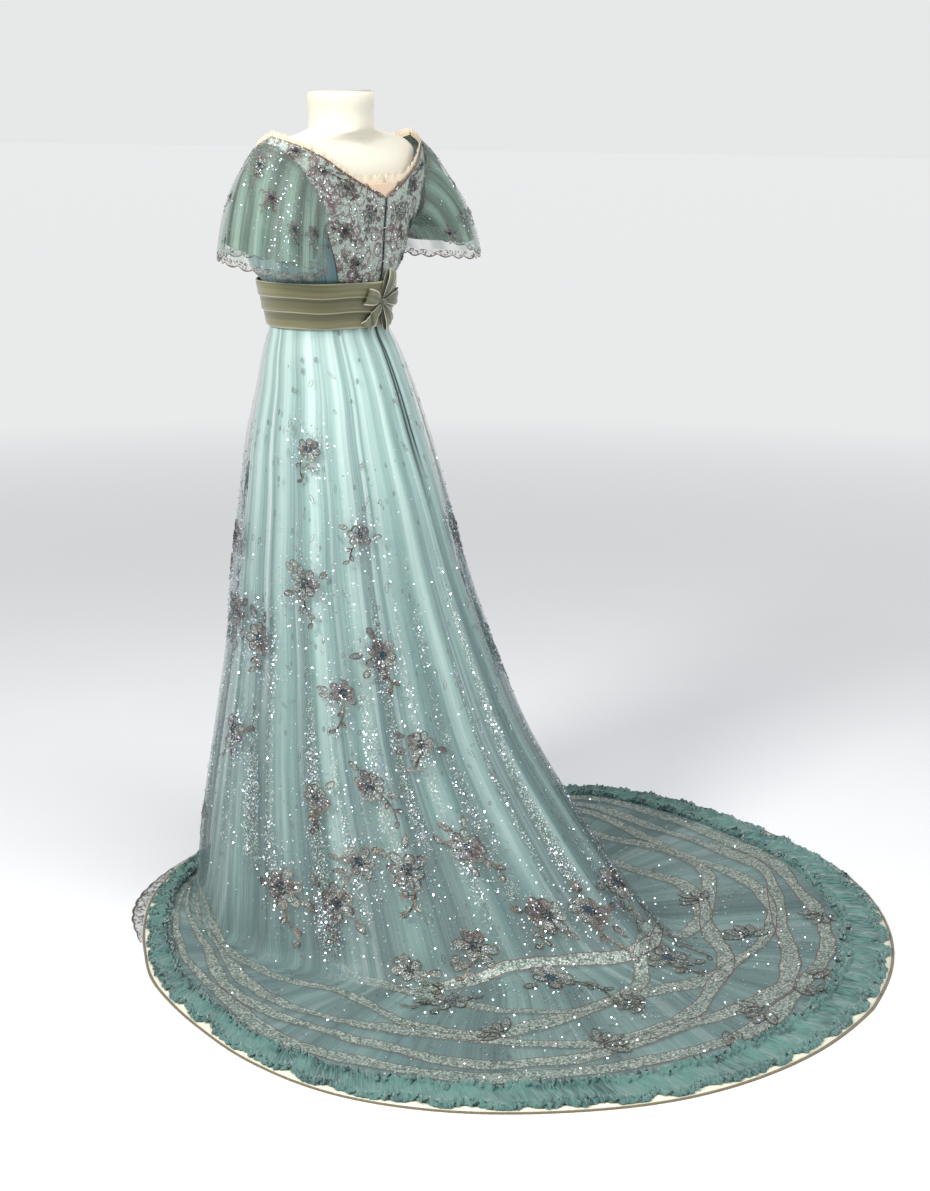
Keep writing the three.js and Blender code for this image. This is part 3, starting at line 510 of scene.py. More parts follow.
SILK_COLUMNS = 432
SILK_ROWS = 84
turn = np.arange(SILK_COLUMNS) / SILK_COLUMNS
angle = around_skirt(turn)
deep = fold_depth(turn)
SILK_FOLLOWS = 0.5                   # how far the silk follows the net's folds
levels = [section(level, angle, level[6] + SILK_FOLLOWS * level[5] * deep, level[0])
          for level in SKIRT_LEVELS]
landing = section(LANDING, angle, LANDING[6], SILK_LIES)
hem = hem_point(angle, 0, SILK_LIES)
silk_lines = np.stack([*levels, landing, (landing + hem) / 2, hem])
silk_grid = smooth_rows(silk_lines, SILK_ROWS)
drop = np.linspace(0, 1, SILK_ROWS)[:, None]
silk_fine = creases(SILK_ROWS, turn, 11, 190, 0.0018, 0.006, (0.35, 1.3))
lying = np.clip(silk_grid[:, :, 2:3] / 0.06, 0, 1)
silk_grid -= grid_normals(silk_grid) * (silk_fine * (0.25 + 3.2 * drop) * MM)[:, :, None] * lying
silk_grid[:, :, 2] = np.maximum(silk_grid[:, :, 2], SILK_LIES)
from_hem = np.linalg.norm(silk_grid[:, :, :2] - silk_grid[-1:, :, :2], axis=2)
# Uneven stripes of painted highlight that run down the satin.
silk_highlight_stripes = (creases(SILK_ROWS, turn, 77, 64, 0.0016, 0.005, (0.5, 1.5))
                + creases(SILK_ROWS, turn, 78, 26, 0.004, 0.010, (0.9, 1.9)))
silk_skirt = cloth("silk_skirt", silk_grid, UNDER_SKIRT, closed=True, across=1.0, wall=1 * MM,
                   attributes={"from_hem": from_hem, "highlight_stripe": silk_highlight_stripes, "trough": deep + 0 * drop,
                               "placket_shade": placket_shade(turn, drop)})

# Fine gathers as streaks of light and shade that run down the cloth.
streaks, given, gives = shader_group(
    "gathered_streaks", {"Coordinates": None, "Count": 300.0}, ("Height", "Shade"))
parts = put(streaks, "ShaderNodeSeparateXYZ", Vector=given["Coordinates"])
narrow_lines = put(streaks, "ShaderNodeCombineXYZ", X=parts[0] * given["Count"], Y=parts[1] * 1.6)
broad_lines = put(streaks, "ShaderNodeCombineXYZ", X=parts[0] * (given["Count"] * 0.23), Y=parts[1] * 1.1)
narrow_noise = noise(narrow_lines[0], 1.0, 3.0, 0.65)
broad_noise = noise(broad_lines[0], 1.0, 1.0)
joined = narrow_noise * 0.6 + broad_noise * 0.4
fill(gives, Height=joined, Shade=spread(joined, 0.36, 0.64))

satin, tree, shader = new_material("blue_green_satin", 0.38, Sheen_Weight=0.25, Specular_IOR_Level=0.55)
uv = uv_map(tree)
gathers = use(streaks, Coordinates=uv, Count=420.0)
cloud = noise(own_place(tree), 3.2, 2.0)
broad = use(streaks, Coordinates=uv, Count=70.0)["Shade"]
sea = blended(spread(cloud, 0.35, 0.65), dyed(154, 198, 188), dyed(138, 182, 176))
# Broad bands of painted shade run down the satin.
sea = blended(spread(broad, 0.1, 0.7), dyed(88, 138, 138), sea)
# The satin is painted paler towards the waist, as painted light.
upper = spread(axis_of(uv, 1), 0.05, 0.75, 0.5, 0)
sea = blended(upper, sea, dyed(196, 224, 212))
low = attribute(tree, "trough")
# Painted shade darkens the troughs of the folds, less so near the waist.
shaded = blended(spread(low, 0.15, 0.85) * spread(upper, 0.1, 0.5, 1, 0.45), sea, dyed(72, 112, 114))
# Painted highlights lie on these stripes, on the pale streaks of the gathers and on the fold ridges, and they
# are weaker where the satin lies on the floor.
highlight_share = spread(attribute(tree, "highlight_stripe"), 0.25, 0.75)
high = larger(gathers["Shade"] * 0.5, highlight_share) * spread(broad, 0.0, 0.8, 0.45, 1.0)
ridge = spread(low, 0.28, 0.02, 0, 0.6) * spread(gathers["Shade"], 0, 0.7, 0.55, 1)
up = axis_of(own_place(tree), 2)
high = larger(high, ridge * spread(up, 0.02, 0.2, 0.15, 1))
lit = blended(high, shaded, dyed(222, 240, 236))
cream = spread(attribute(tree, "from_hem"), 0.016, 0.019, 1, 0)
faced = blended(cream, lit, dyed(226, 226, 204))
# A dark line of painted shade marks the closed back opening.
fill(shader, Base_Color=blended(attribute(tree, "placket_shade"), faced, dyed(28, 46, 52)),
     Roughness=spread(gathers["Shade"], 0, 1, 0.42, 0.32))
bump(shader, gathers["Height"], 0.35, 0.003)
dress(silk_skirt, satin, "skirt_silk", *[f"silk_skirt_{gore}" for gore in GORES])


# ---------------------------------------------------------------- net overskirt
# Fine grey-green silk net, gathered into the waist and hung free over the silk. It is worked with
# ribbons of small beads that wander round the train, lacy metal thread round sprays, and sequins.

NET_COLUMNS = 864
NET_ROWS = 108
NET_LIES = 3.5 * MM
NET_LOWEST = 3.2 * MM
NET_STOPS = 2.5 * MM
HEM_FOLD = 2.5 * MM

turn = np.arange(NET_COLUMNS) / NET_COLUMNS
angle = around_skirt(turn)
deep = fold_depth(turn)
levels = [section(level, angle, level[5] * deep, level[0]) for level in SKIRT_LEVELS]
landing = section(LANDING, angle, 0, 0)
hem = hem_point(angle, flounce_width(angle) + NET_STOPS, 0)
floor_lines = []
for share in (0, 0.5, 1):
    line = landing + (hem - landing) * share
    line[:, 2] = NET_LIES + (LANDING[5] * (1 - share) + HEM_FOLD * share) * (1 - deep)
    floor_lines.append(line)
net_grid = smooth_rows(np.stack([*levels, *floor_lines]), NET_ROWS)
drop = np.linspace(0, 1, NET_ROWS)[:, None]
net_fine = creases(NET_ROWS, turn, 23, 330, 0.0010, 0.0034, (0.3, 1.2)) - 0.7
net_grid += grid_normals(net_grid) * (net_fine * (0.3 + 2.6 * drop * (1.25 - drop)) * MM)[:, :, None]
net_grid[:, :, 2] = np.maximum(net_grid[:, :, 2], NET_LOWEST)

step = np.linalg.norm(np.diff(net_grid, axis=0), axis=2)
length_down = np.concatenate([np.zeros((1, NET_COLUMNS)), np.cumsum(step, axis=0)])
from_edge = length_down[-1:] - length_down
border_scale = (flounce_width(np.array(0.0)) / flounce_width(angle))[None, :]
hem_step = np.linalg.norm(np.roll(net_grid[-1], -1, axis=0) - net_grid[-1], axis=1)
from_back = np.concatenate([[0], np.cumsum(hem_step)[:-1]])
along_hem = np.minimum(from_back, from_back[-1] - from_back)[None, :] + 0 * from_edge

# Streams of beading down the folds: each has its place, width, start and end, and sways a little.
chance = np.random.default_rng(5)
streams = np.zeros((NET_ROWS, NET_COLUMNS))
STREAMS = 30
glitter = np.zeros((NET_ROWS, NET_COLUMNS))
for k in range(STREAMS):
    centre = (k + chance.uniform(-0.3, 0.3)) / STREAMS
    width = chance.uniform(0.0035, 0.0095)
    start, end = chance.uniform(0.16, 0.42), chance.uniform(0.70, 0.84)
    strength = chance.uniform(0.55, 1.0)
    sway = 0.0024 * np.sin(drop * chance.uniform(6, 14) + chance.random() * 6)
    off = nearest(turn[None, :] - centre - sway)
    window = np.clip((drop - start) / 0.2, 0, 1) * np.clip((end - drop) / 0.04, 0, 1)
    stream = strength * np.exp(-(off / (width * (0.5 + 0.9 * drop))) ** 4) * window
    bunched = np.clip(np.sin(drop * chance.uniform(26, 44) + chance.random() * 6), 0, 1)
    streams += stream
    glitter += stream * (0.22 + 1.3 * bunched)
streams = np.minimum(streams, 1)

# Flower sprays: place round the skirt, length down from the waist, radius, and turn in degrees.
SPRAYS = [
    (0.252, 0.22, 0.030, 10), (0.262, 0.45, 0.040, -15), (0.178, 0.37, 0.032, 20), (0.168, 0.58, 0.040, -10),
    (0.222, 0.64, 0.034, 15), (0.205, 0.80, 0.038, -25), (0.262, 0.82, 0.040, 5), (0.140, 0.74, 0.036, 30),
    (0.255, 1.00, 0.050, 0), (0.190, 0.95, 0.048, 20), (0.300, 0.98, 0.050, -20), (0.230, 0.93, 0.040, 35),
    (0.130, 0.93, 0.045, -30), (0.090, 1.08, 0.048, 15), (0.155, 1.10, 0.050, 40), (0.115, 1.19, 0.050, -40),
    (0.050, 1.10, 0.048, -15), (0.985, 1.08, 0.048, 20), (0.015, 1.24, 0.050, 0), (0.955, 1.18, 0.048, 25),
    (0.180, 1.22, 0.044, 60), (0.148, 1.36, 0.046, -60), (0.112, 1.44, 0.050, 70), (0.078, 1.34, 0.048, -70),
    (0.066, 1.58, 0.050, 95), (0.030, 1.46, 0.050, -85), (0.004, 1.62, 0.050, 80), (0.974, 1.50, 0.050, -95),
    (0.940, 1.36, 0.048, 75), (0.915, 1.50, 0.046, -60), (0.885, 1.30, 0.046, 60), (0.210, 1.12, 0.040, -50),
]
for k in range(30):
    SPRAYS.append((0.33 + 0.62 * (k + chance.uniform(0.2, 0.8)) / 30, chance.uniform(0.3, 1.0),
                   chance.uniform(0.03, 0.046), chance.uniform(-40, 40)))
column_width = np.linalg.norm(np.roll(net_grid, -8, axis=1) - np.roll(net_grid, 8, axis=1), axis=2) / 16
spray_mask = np.zeros((NET_ROWS, NET_COLUMNS))
for place, down, radius, _ in SPRAYS:
    across = nearest(turn[None, :] - place) * NET_COLUMNS * column_width
    below = length_down - down - 0.3 * radius
    spray_mask += np.exp(-((across / radius) ** 2 + (below / (radius * 1.4)) ** 2))
band_place = from_edge * border_scale
sparkle = np.clip(1.3 * glitter * (0.1 + 1.2 * drop) + 0.9 * spray_mask * (1.25 - drop) + 0.02 * (drop > 0.15)
                  + 0.02 * (band_place < 0.4), 0, 2.4)

net_skirt = cloth("net_skirt", net_grid, UNDER_SKIRT, closed=True, across=1.0, attributes={
    "from_edge": band_place, "along_hem": along_hem, "spray": spray_mask,
    "stream": streams, "sparkle": sparkle, "placket_shade": placket_shade(turn, drop), "trough": deep + 0 * drop,
    "train": np.clip((np.cos(angle)[None, :] - 0.1) / 0.4, 0, 1) + 0 * drop})

# One ribbon of beads that swings to and fro as it follows the hem, with a corded edge on each side.
ribbon, inputs, gives = shader_group(
    "beaded_ribbon", {"Place": None, "Across": 0.0, "Along": 0.0, "Centre": 0.05, "Swing": 0.02,
                      "Wave Length": 0.5, "Phase": 0.0, "Half Width": 0.013}, ("Band", "Edge"))
phase = inputs["Along"] / inputs["Wave Length"] * (2 * math.pi) + inputs["Phase"]
ripple = put(ribbon, "ShaderNodeTexNoise", {"noise_dimensions": "4D"}, Vector=inputs["Place"],
             W=inputs["Phase"], Scale=12.0, Detail=2.0)["Fac"]
middle = inputs["Centre"] + (maths("SINE", phase) * inputs["Swing"] + (ripple - 0.5) * 0.022)
off = abs(inputs["Across"] - middle)
swell = put(ribbon, "ShaderNodeTexNoise", {"noise_dimensions": "4D"}, Vector=inputs["Place"],
            W=inputs["Phase"] * 3.7, Scale=6.0, Detail=1.0)["Fac"]
wide = inputs["Half Width"] * spread(swell, 0.3, 0.7, 0.55, 1.45)
past = off - wide
fill(gives, Band=spread(past, -0.0006, 0.0006, 1, 0), Edge=spread(abs(past), 0.0006, 0.0013, 1, 0))

# Seed beads crowded on the cloth. The grey of each bead differs at random, and each is painted darker towards
# its rim and in the gaps between beads, as painted shade.
beading, given, gives = shader_group("seed_beads", {"Coordinates": None, "Size": 0.0025}, ("Height", "Shade"))
cells = put(beading, "ShaderNodeTexVoronoi", Vector=given["Coordinates"], Scale=1.0 / given["Size"])
fill(gives, Height=spread(cells["Distance"], 0.15, 0.6, 1, 0))
grey = put(beading, "ShaderNodeSeparateColor", Color=cells["Color"])[0]
fill(gives, Shade=grey * spread(cells["Distance"], 0.2, 0.7, 1, 0.35))

# Metal thread laid in small curls, as a mask.
curls, given, gives = shader_group("metal_lace", {"Coordinates": None, "Size": 0.012}, ("Mask",))
warp = put(curls, "ShaderNodeTexNoise", Vector=given["Coordinates"], Scale=90.0, Detail=2.0)["Color"]
moved = put(curls, "ShaderNodeMixRGB", {"blend_type": "ADD"}, Fac=0.016, Color1=given["Coordinates"],
            Color2=warp)[0]
rings = put(curls, "ShaderNodeTexVoronoi", Vector=moved, Scale=1.0 / given["Size"])["Distance"]
line = abs(rings - 0.42)
fill(gives, Mask=spread(line, 0.05, 0.12, 1, 0))

beaded_net, tree, shader = new_material("beaded_net", 0.6)
uv = uv_map(tree)
place = own_place(tree)
across, along = attribute(tree, "from_edge"), attribute(tree, "along_hem")
# Metres above the flounce, swing, wave length, whole turns that the wave starts later, and half width.
# Every second ribbon swings the other way. The lower four run all round, and the rest on the train alone.
RIBBONS = [(0.028, 0.006, 0.43, 0, 0.015), (0.084, 0.020, 0.61, 0, 0.015), (0.140, 0.030, 0.82, 1, 0.014),
           (0.208, 0.036, 0.70, 1, 0.016), (0.285, 0.044, 0.93, 2, 0.014), (0.360, 0.050, 1.10, 2, 0.012)]
LOWER_RIBBONS = 4
FIRST_PHASE = 1.57
bands = [use(ribbon, Place=place, Across=across, Along=along, Centre=centre, Swing=swing, Wave_Length=wave,
             Phase=(FIRST_PHASE + 2 * math.pi * start) * (-1 if k % 2 else 1), Half_Width=half)
         for k, (centre, swing, wave, start, half) in enumerate(RIBBONS)]
low = spread(axis_of(place, 2), 0.035, 0.06, 1, 0)
low_down = low * spread(across, 0.44, 0.5, 1, 0)
on_train = attribute(tree, "train")
band, edge = (larger(*[shares[kind] for shares in bands[:LOWER_RIBBONS]],
                     *[on_train * shares[kind] for shares in bands[LOWER_RIBBONS:]])
              for kind in ("Band", "Edge"))
band, edge = band * low_down, edge * low_down
beads = use(beading, Coordinates=place, Size=0.003)
lace_lines = use(curls, Coordinates=place, Size=0.012)["Mask"]
spray = attribute(tree, "spray")
stream = attribute(tree, "stream")
worked = lace_lines * spread(spray, 0.12, 0.8, 0, 0.55)
crowd = noise(place, 34.0, 4.0, 0.7)
grain = spread(beads["Height"], 0.25, 0.6) * spread(crowd + stream * 0.42, 0.66, 0.86)
grain = grain * spread(stream, 0.05, 0.35)
marks = put(tree, "ShaderNodeTexVoronoi", Vector=stretch(place, (1.0, 1.0, 0.45)), Scale=42.0)["Distance"]
marked = spread(marks, 0.1, 0.15, 1, 0) * 0.65
gathers = use(streaks, Coordinates=uv, Count=620.0)
# The net is darker and thicker towards the hem.
towards_hem = spread(axis_of(uv, 1), 0.25, 1.15)
# The light and shade of the gathers is painted into the net's colour.
base = blended(gathers["Shade"], dyed(78, 100, 104), dyed(142, 168, 168))
base = blended(towards_hem * 0.55, base, dyed(74, 92, 90))
base = blended(stream * 0.75, base, dyed(84, 100, 94))
with_marks = blended(marked, base, dyed(74, 76, 66))
with_grain = blended(grain, with_marks, blended(beads["Shade"], dyed(126, 146, 136), dyed(232, 242, 234)))
with_lace = blended(worked, with_grain, dyed(110, 104, 94))
with_band = blended(band, with_lace, blended(beads["Shade"], dyed(84, 104, 98), dyed(232, 238, 226)))
with_edge = blended(edge, with_band, dyed(104, 74, 66))
# A dark line of painted shade marks the closed back opening on the net too.
closed = attribute(tree, "placket_shade")
fill(shader, Base_Color=blended(closed, with_edge, dyed(30, 48, 54)))
solid = larger(band * 0.85, edge, larger(worked, larger(marked, closed), grain * 0.85))
# The net is painted thicker in the shaded streaks of its gathers, less so near the waist, and in the troughs
# of its folds, which paints shade there.
fainter_at_waist = spread(axis_of(uv, 1), 0.04, 0.42, 0.5, 1)
sheer = fainter_at_waist * spread(gathers["Shade"], 1, 0, 0.16, 0.4) + (towards_hem * 0.3 + stream * 0.2)
up = axis_of(place, 2)
sheer = sheer * larger(spread(attribute(tree, "trough"), 0.04, 0.5, 0.6, 1.15),
                       spread(up, 0.02, 0.2, 0.98, 0.6))
fill(shader, Alpha=larger(sheer, solid), Metallic=larger(grain, band) * 0.4,
     Roughness=spread(solid, 0, 1, 0.7, 0.36))
relief = gathers["Height"] * 0.6 + beads["Height"] * (larger(band, grain) * 0.5)
bump(shader, relief, 0.45, 0.002)
dress(net_skirt, beaded_net, "skirt_net", *[f"net_skirt_{gore}" for gore in GORES])


# ---------------------------------------------------------------- sequins, beads and sprays on the net
# Flat sequins are sewn one by one along the folds and thickly on the sprays. Each spray is a flower
# of petals outlined in metal thread, with dark glass beads at its heart and beaded leaves about it.

scatter = bpy.data.node_groups.new("sewn_on", "GeometryNodeTree")
scatter.is_modifier = True
for label, kind in (("Cloth", "Geometry"), ("Per Square Metre", "Float"), ("Size", "Float"),
                    ("Lift", "Float"), ("Tilt", "Float"), ("Sides", "Int"), ("Where", "String"),
                    ("Seed", "Int"), ("Finish", "Material")):
    scatter.interface.new_socket(label, in_out="INPUT", socket_type="NodeSocket" + kind)
scatter.interface.new_socket("Sewn", in_out="OUTPUT", socket_type="NodeSocketGeometry")
given = Made(scatter.nodes.new("NodeGroupInput"))
where = put(scatter, "GeometryNodeInputNamedAttribute", {"data_type": "FLOAT"}, Name=given["Where"])
points = put(scatter, "GeometryNodeDistributePointsOnFaces", Mesh=given["Cloth"],
             Density=where[0] * given["Per Square Metre"], Seed=given["Seed"])
rise = put(scatter, "ShaderNodeVectorMath", {"operation": "SCALE"}, Vector=points["Normal"],
           Scale=given["Lift"])
lifted = put(scatter, "GeometryNodeSetPosition", Geometry=points["Points"], Offset=rise[0])
lean = put(scatter, "ShaderNodeCombineXYZ", X=given["Tilt"], Y=given["Tilt"], Z=math.pi)[0]
back = put(scatter, "ShaderNodeVectorMath", {"operation": "SCALE"}, Vector=lean, Scale=-1.0)[0]
turned = put(scatter, "FunctionNodeRandomValue", {"data_type": "FLOAT_VECTOR"}, Min=back, Max=lean,
             Seed=given["Seed"])
rotated = put(scatter, "FunctionNodeRotateRotation", {"rotation_space": "LOCAL"}, Rotation=points["Rotation"],
              Rotate_By=put(scatter, "FunctionNodeEulerToRotation", Euler=turned[0])[0])
disc = put(scatter, "GeometryNodeMeshCircle", {"fill_type": "NGON"}, Vertices=given["Sides"], Radius=1.0)
sizes = put(scatter, "FunctionNodeRandomValue", {"data_type": "FLOAT"})
for k, size in ((2, 0.7), (3, 1.15)):
    feed(sizes.node.inputs[k], size)
placed = put(scatter, "GeometryNodeInstanceOnPoints", Points=lifted[0], Instance=disc[0], Rotation=rotated[0],
             Scale=sizes[1] * given["Size"])
tints = put(scatter, "FunctionNodeRandomValue", {"data_type": "FLOAT"}, Seed=9)
tinted = put(scatter, "GeometryNodeStoreNamedAttribute", {"data_type": "FLOAT", "domain": "INSTANCE"},
             Geometry=placed[0], Name="tint", Value=tints[1])
real = put(scatter, "GeometryNodeRealizeInstances", Geometry=tinted[0])
finished = put(scatter, "GeometryNodeSetMaterial", Geometry=real[0], Material=given["Finish"])
feed(scatter.nodes.new("NodeGroupOutput").inputs[0], finished[0])


def sewn_on(name, cloth_mesh, slot, finish, **settings):
    """Sews discs on a cloth where its attribute says, and keeps them as a plain mesh."""
    piece = added(name, cloth_mesh)
    sewing = piece.modifiers.new("sewing", "NODES")
    sewing.node_group = scatter
    names = {s.name: s.identifier for s in scatter.interface.items_tree if s.in_out == "INPUT"}
    for key, value in settings.items():
        sewing[names[key.replace("_", " ")]] = value
    sewing[names["Finish"]] = finish
    bpy.context.view_layer.update()
    mesh = bpy.data.meshes.new_from_object(piece.evaluated_get(bpy.context.evaluated_depsgraph_get()))
    piece.modifiers.clear()
    piece.data = mesh
    dress(piece, finish, slot)


sequin, tree, shader = new_material("silver_sequins", 0.24, Metallic=0.9)
hues = ramp(attribute(tree, "tint"), [(0.0, (0.92, 0.95, 0.98, 1)), (0.35, (0.76, 0.84, 0.95, 1)),
                                      (0.5, (0.8, 0.7, 0.9, 1)), (0.65, (0.5, 0.78, 0.8, 1)),
                                      (0.8, (0.97, 0.97, 0.95, 1)), (1.0, (0.4, 0.45, 0.62, 1))])
fill(shader, Base_Color=hues)
sewn_on("skirt_sequins", net_skirt.data, "skirt_net", sequin, Per_Square_Metre=34000.0,
        Size=1.7 * MM, Lift=1.6 * MM, Tilt=0.7, Sides=5, Where="sparkle", Seed=3)


def petal(turned, inner, outer, wide, steps=11):
    """The outline of a petal about a flower's heart, broad at its outer end."""
    t = np.linspace(0, 2 * np.pi, steps, endpoint=False)
    share = 0.5 - 0.5 * np.cos(t)
    side = wide * np.sin(t) * (0.45 + 0.55 * share)
    return turned_by(np.stack([side, inner + (outer - inner) * share], axis=1), turned)


def leaf(at, turned, long, wide, steps=9):
    """The outline of a pointed leaf that starts at a point."""
    t = np.linspace(0, 2 * np.pi, steps, endpoint=False)
    side = wide * np.sin(t) * (0.5 + 0.5 * np.abs(np.sin(t)))
    return turned_by(np.stack([side, long * (0.5 - 0.5 * np.cos(t))], axis=1), turned) + at


def turned_by(points, angle):
    c, s = np.cos(angle), np.sin(angle)
    return points @ np.array([[c, s], [-s, c]])


def spray_parts(chance):
    """A flower with leaves and a stem, of radius 1: outlines with a kind, and the places of its beads."""
    shapes, beads = [], []
    petals = chance.integers(6, 9)
    for k in range(petals):
        turned = 2 * np.pi * (k + chance.uniform(-0.15, 0.15)) / petals
        reach = chance.uniform(0.58, 0.8)
        shapes.append((petal(turned, 0.06, reach, 0.26, 13), "petal"))
    shapes.append((petal(0, -0.24, 0.24, 0.24, 11), "heart"))
    for turned in chance.uniform(0, 6.28, chance.integers(2, 5)):
        shapes.append((leaf(turned_by(np.array([[0, 0.75]]), turned)[0], turned + chance.uniform(-0.6, 0.6),
                            chance.uniform(0.4, 0.6), 0.15), "leaf"))
    sway = chance.uniform(-0.35, 0.35)
    length = chance.uniform(1.1, 1.9)
    down = np.linspace(0.5, length, 7)
    line = np.stack([sway * np.sin(down * 1.6), -down], axis=1)
    edge = np.stack([0.035 + 0 * down, 0 * down], axis=1)
    shapes.append((np.concatenate([line - edge, (line + edge)[::-1]]), "stem"))
    for at, hand in zip(line[2::2], (1, -1, 1)):
        shapes.append((leaf(at, math.pi + hand * chance.uniform(0.7, 1.1), 0.36, 0.10), "leaf"))
    for _ in range(16):
        at = np.array([[0, 0.22 * math.sqrt(chance.random())]])
        beads.append(turned_by(at, chance.uniform(0, 6.28))[0])
    return shapes, beads


def leaf_fan(chance):
    """A fan of beaded leaves, of radius 1, with no flower."""
    shapes = []
    for k in range(5):
        turned = (k - 2) * 0.55 + chance.uniform(-0.12, 0.12)
        foot = turned_by(np.array([[0, 0.15]]), turned)[0]
        shapes.append((leaf(foot, turned, chance.uniform(0.7, 1.0), 0.2, 13), "leaf"))
    return shapes, [(0, 0.05 * k) for k in range(3)]


class Sewing:
    """Collects faces that are laid on a cloth's grid by their place across and down it."""

    def __init__(self, grid, inside, closed=True):
        self.grid, self.closed = grid, closed
        steps = np.linalg.norm(np.diff(grid, axis=0), axis=2)
        self.lengths = np.concatenate([np.zeros((1, grid.shape[1])), np.cumsum(steps, axis=0)])
        gap = max(1, grid.shape[1] // 108)
        apart = np.roll(grid, -gap, axis=1) - np.roll(grid, gap, axis=1)
        self.widths = np.linalg.norm(apart, axis=2) / (2 * gap)
        if not closed:
            self.widths[:, :gap] = self.widths[:, gap:gap + 1]
            self.widths[:, -gap:] = self.widths[:, -gap - 1:-gap]
        self.normals = grid_normals(grid, closed)
        self.normals *= np.sign((self.normals * (grid - np.array(inside))).sum())
        self.points, self.faces = [], []

    def lay(self, column, down, offsets, faces, lift):
        """Lays points, as offsets in metres across and down from a place on the cloth."""
        rows, columns = self.grid.shape[:2]
        middle = int(column) % columns
        row = np.interp(down, self.lengths[:, middle], np.arange(rows))
        width = self.widths[int(row), middle]
        row_height = np.gradient(self.lengths[:, middle])[int(row)]
        at_column = column + offsets[:, 0] / width
        at_row = np.clip(row - offsets[:, 1] / row_height, 0, rows - 1.001)
        if not self.closed:
            at_column = np.clip(at_column, 0, columns - 1.001)
        j, i = np.floor(at_column).astype(int), at_row.astype(int)
        u, v = (at_column - j)[:, None], (at_row - i)[:, None]

        def read(field):
            a, b = field[i, j % columns], field[i, (j + 1) % columns]
            c, d = field[i + 1, j % columns], field[i + 1, (j + 1) % columns]
            return (a * (1 - u) + b * u) * (1 - v) + (c * (1 - u) + d * u) * v

        placed = read(self.grid) + read(self.normals) * np.asarray(lift).reshape(-1, 1)
        start = sum(len(p) for p in self.points)
        self.points.append(placed)
        self.faces += [[start + k for k in face] for face in faces]

    def outline(self, column, down, shape, thick, lift):
        """Lays a closed line of thread."""
        count = len(shape)
        centre = shape.mean(axis=0)
        away = shape - centre
        reach = np.maximum(np.linalg.norm(away, axis=1), 1e-6)
        inner = centre + away * np.maximum(0.2, 1 - thick / reach)[:, None]
        faces = [(k, (k + 1) % count, (k + 1) % count + count, k + count) for k in range(count)]
        self.lay(column, down, np.concatenate([shape, inner]), faces, lift)

    def fill(self, column, down, shape, lift):
        self.lay(column, down, shape, [list(range(len(shape)))], lift)

    def piece(self, name, material, slot):
        points = np.concatenate(self.points)
        mesh = bpy.data.meshes.new(name)
        mesh.from_pydata(points.tolist(), [], self.faces)
        dress(added(name, mesh), material, slot)


BEAD = np.array([(1, 0, 0), (0, 1, 0), (-1, 0, 0), (0, -1, 0), (0, 0, 1)])
BEAD_FACES = [(0, 1, 4), (1, 2, 4), (2, 3, 4), (3, 0, 4)]
FANS_BELOW = 1.26                    # metres below the waist, where fans of leaves take the place of flowers


def sew_sprays(name, grid, inside, closed, places, chance, slot, lift):
    """Sews flower sprays on a cloth, as threads, patches of small beads and dark glass beads."""
    threads, patches, glass = (Sewing(grid, inside, closed) for _ in range(3))
    for place, down, radius, degrees in places:
        shapes, beads = (leaf_fan if down > FANS_BELOW else spray_parts)(chance)
        column = place * (grid.shape[1] - (0 if closed else 1))
        for shape, kind in shapes:
            laid = turned_by(shape * radius, math.radians(degrees))
            if kind == "stem":
                threads.fill(column, down, laid, lift + 0.2 * MM)
                continue
            if kind == "heart":
                glass.fill(column, down, laid, lift + 0.5 * MM)
                continue
            patches.fill(column, down, laid, lift + (0.2 * MM if kind == "petal" else 0))
            threads.outline(column, down, laid * 1.03, 0.045 * radius, lift + 0.6 * MM)
        for at in turned_by(np.array(beads) * radius, math.radians(degrees)):
            glass.lay(column, down, at + BEAD[:, :2] * 1.6 * MM, BEAD_FACES,
                      lift + (0.7 + BEAD[:, 2] * 1.8) * MM)
    threads.piece(name + "_threads", thread_metal, slot)
    patches.piece(name + "_patches", bead_patch, slot)
    glass.piece(name + "_glass", dark_glass, slot)


thread_metal, tree, shader = new_material("tarnished_metal_thread", 0.38, Metallic=0.55)
place = own_place(tree)
tarnish = noise(place, 60.0, 3.0)
twist = noise(place, 900.0, 1.0)
fill(shader, Base_Color=blended(spread(tarnish, 0.4, 0.6), dyed(72, 60, 54), dyed(126, 120, 106)))
bump(shader, twist, 0.6, 0.0006)

bead_patch, tree, shader = new_material("beaded_petals", 0.35, Metallic=0.4)
place = own_place(tree)
beads = use(beading, Coordinates=place, Size=0.0024)
zones = noise(place, 22.0, 2.0)
silver = blended(beads["Shade"], dyed(84, 92, 88), dyed(206, 214, 208))
standing = spread(axis_of(place, 2), 0.03, 0.07)
fill(shader, Base_Color=blended(standing * spread(zones, 0.44, 0.56), silver,
                                blended(beads["Shade"], dyed(70, 52, 54), dyed(136, 112, 118))),
     Alpha=spread(beads["Height"], 0.05, 0.4, 0.35, 0.95))
bump(shader, beads["Height"], 0.6, 0.001)

dark_glass, tree, shader = new_material("dark_glass_beads", 0.12, Specular_IOR_Level=0.8)
shift = put(tree, "ShaderNodeTexNoise", Vector=own_place(tree), Scale=300.0)["Fac"]
fill(shader, Base_Color=blended(spread(shift, 0.4, 0.6), dyed(22, 42, 46), dyed(52, 78, 92)))

sew_sprays("skirt_sprays", net_grid, UNDER_SKIRT, True, SPRAYS, np.random.default_rng(12), "skirt_net",
           1.2 * MM)

